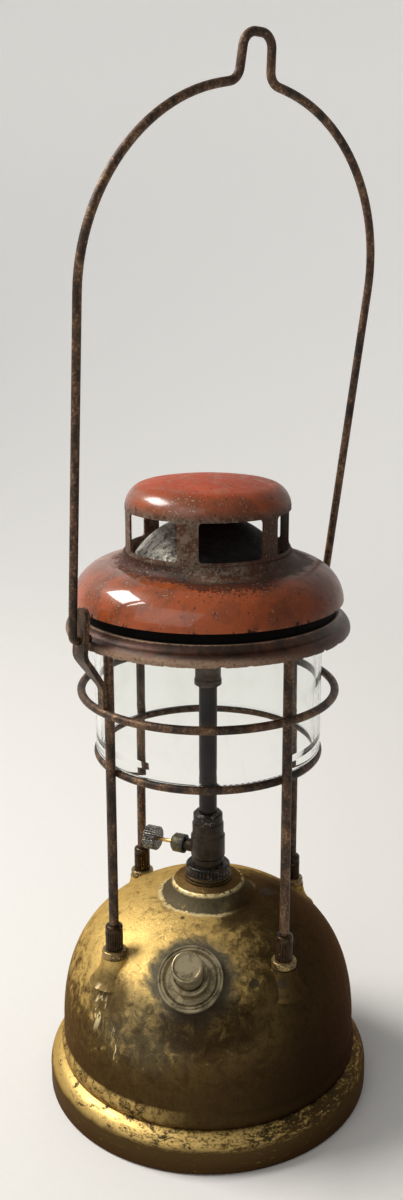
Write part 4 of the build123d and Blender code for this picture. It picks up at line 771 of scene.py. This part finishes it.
class LANTERN_OT_stage(bpy.types.Operator):
    """Adds the pale floor with its curved backdrop, the lamps, the world and the camera"""

    bl_idname = "lantern.stage"
    bl_label = "Stage"

    def execute(self, context):
        stage = context.scene.lantern_stage
        self.add_backdrop(context, stage)
        self.add_lamps(context, stage)
        self.add_world(context, stage)
        self.add_camera(context, stage)
        context.scene.view_settings.view_transform = "Standard"
        return {"FINISHED"}

    def add_backdrop(self, context, stage):
        mesh = bpy.data.meshes.new("backdrop")
        half_width, front, back, round_r, top = 3.0, -2.2, 1.1, 0.8, 2.6
        line = [(front, 0.0), (back, 0.0)]
        for part in range(1, BEND_PARTS + 1):
            turn = math.pi / 2 * part / BEND_PARTS
            line.append((back + round_r * math.sin(turn), round_r - round_r * math.cos(turn)))
        line.append((back + round_r, top))
        form = bmesh.new()
        rows = [[form.verts.new((side * half_width, y, z)) for y, z in line] for side in (-1, 1)]
        for near, far in zip(range(len(line) - 1), range(1, len(line))):
            face = form.faces.new((rows[0][near], rows[1][near], rows[1][far], rows[0][far]))
            face.smooth = True
        form.to_mesh(mesh)
        form.free()
        backdrop = bpy.data.objects.new("backdrop", mesh)
        context.scene.collection.objects.link(backdrop)
        s = Shader("backdrop")
        weave = s.noise(3.0, 2, 0.5, seed=2)
        colour = s.tint(0.98 + 0.04 * weave, tuple(stage.floor_colour))
        far = s.step(s.radius, 250, 1900).most(s.step(s.z, 50, 1500))
        glow = s.tint(BACKDROP_GLOW * far, (1.0, 0.99, 0.97, 1.0))
        mesh.materials.append(s.surface(colour, 0.85, 0.0, Emission_Color=glow, Emission_Strength=1.0))

    def add_lamps(self, context, stage):
        front_power = stage.key_power * FRONT_SHARE
        lamps = (
            ("key_lamp", stage.key_power, (1.05, 0.56), (-1.28, 0.06, 1.5), (1.0, 0.97, 0.92)),
            ("front_lamp", front_power, (1.9, 1.5), (-0.9, -1.5, 1.25), (1.0, 0.98, 0.95)),
        )
        for name, power, size, spot, tone in lamps:
            data = bpy.data.lights.new(name, "AREA")
            data.energy = power
            data.shape = "RECTANGLE"
            data.size, data.size_y = size
            data.spread = LAMP_SPREAD
            data.color = tone
            lamp = bpy.data.objects.new(name, data)
            lamp.location = spot
            aim = Vector(LAMP_TARGET) - Vector(spot)
            lamp.rotation_euler = aim.to_track_quat("-Z", "Y").to_euler()
            context.scene.collection.objects.link(lamp)

    def add_world(self, context, stage):
        """Pale where it is seen, dimmer in polished metal, and only the fill elsewhere."""
        world = bpy.data.worlds.new("studio")
        world.use_nodes = True
        context.scene.world = world
        w = Nodes(world.node_tree)
        path = w.node("ShaderNodeLightPath")
        seen = GLOSS_SHARE * path.other("Is Glossy Ray")
        for label in ("Is Camera Ray", "Is Transmission Ray"):
            seen = seen.most(path.other(label))
        levels = {"Value": seen, "To Min": stage.fill, "To Max": WORLD_SEEN}
        strength = w.node("ShaderNodeMapRange", inputs=levels)
        background = w.node("ShaderNodeBackground", inputs={"Color": WORLD_TONE, "Strength": strength})
        w.node("ShaderNodeOutputWorld", inputs={"Surface": background})

    def add_camera(self, context, stage):
        data = bpy.data.cameras.new("camera")
        data.lens = LENS
        data.shift_x, data.shift_y = LENS_SHIFT
        data.clip_start = NEAR_CLIP
        camera = bpy.data.objects.new("camera", data)
        side = stage.camera_side
        camera.location = (
            stage.camera_distance * math.sin(side),
            -stage.camera_distance * math.cos(side),
            stage.camera_height,
        )
        camera.rotation_euler = (math.pi / 2 - stage.camera_tilt, 0.0, side)
        context.scene.collection.objects.link(camera)
        context.scene.camera = camera


OPERATORS = (
    LANTERN_OT_tank,
    LANTERN_OT_cage,
    LANTERN_OT_bail,
    LANTERN_OT_hood,
    LANTERN_OT_glass,
    LANTERN_OT_cock,
    LANTERN_OT_pump,
    LANTERN_OT_stage,
)
SETTINGS = (
    ("lantern_colours", LanternColours),
    ("lantern_wear", LanternWear),
    ("lantern_stage", LanternStage),
)


class LANTERN_PT_panel(bpy.types.Panel):
    """Lists the lantern's pieces and settings"""

    bl_label = "Pressure Lantern"
    bl_space_type = "VIEW_3D"
    bl_region_type = "UI"
    bl_category = "Lantern"

    def draw(self, context):
        for operator in OPERATORS:
            self.layout.operator(operator.bl_idname)
        for name, group in SETTINGS:
            box = self.layout.box()
            box.label(text=group.__doc__)
            for setting in group.__annotations__:
                box.prop(getattr(context.scene, name), setting)


def register():
    for name, group in SETTINGS:
        bpy.utils.register_class(group)
        setattr(bpy.types.Scene, name, bpy.props.PointerProperty(type=group))
    for operator in OPERATORS:
        bpy.utils.register_class(operator)
    bpy.utils.register_class(LANTERN_PT_panel)


def unregister():
    bpy.utils.unregister_class(LANTERN_PT_panel)
    for operator in reversed(OPERATORS):
        bpy.utils.unregister_class(operator)
    for name, group in reversed(SETTINGS):
        delattr(bpy.types.Scene, name)
        bpy.utils.unregister_class(group)


def main():
    register()
    for operator in OPERATORS:
        group, name = operator.bl_idname.split(".")
        getattr(getattr(bpy.ops, group), name)()


if __name__ == "__main__":
    main()
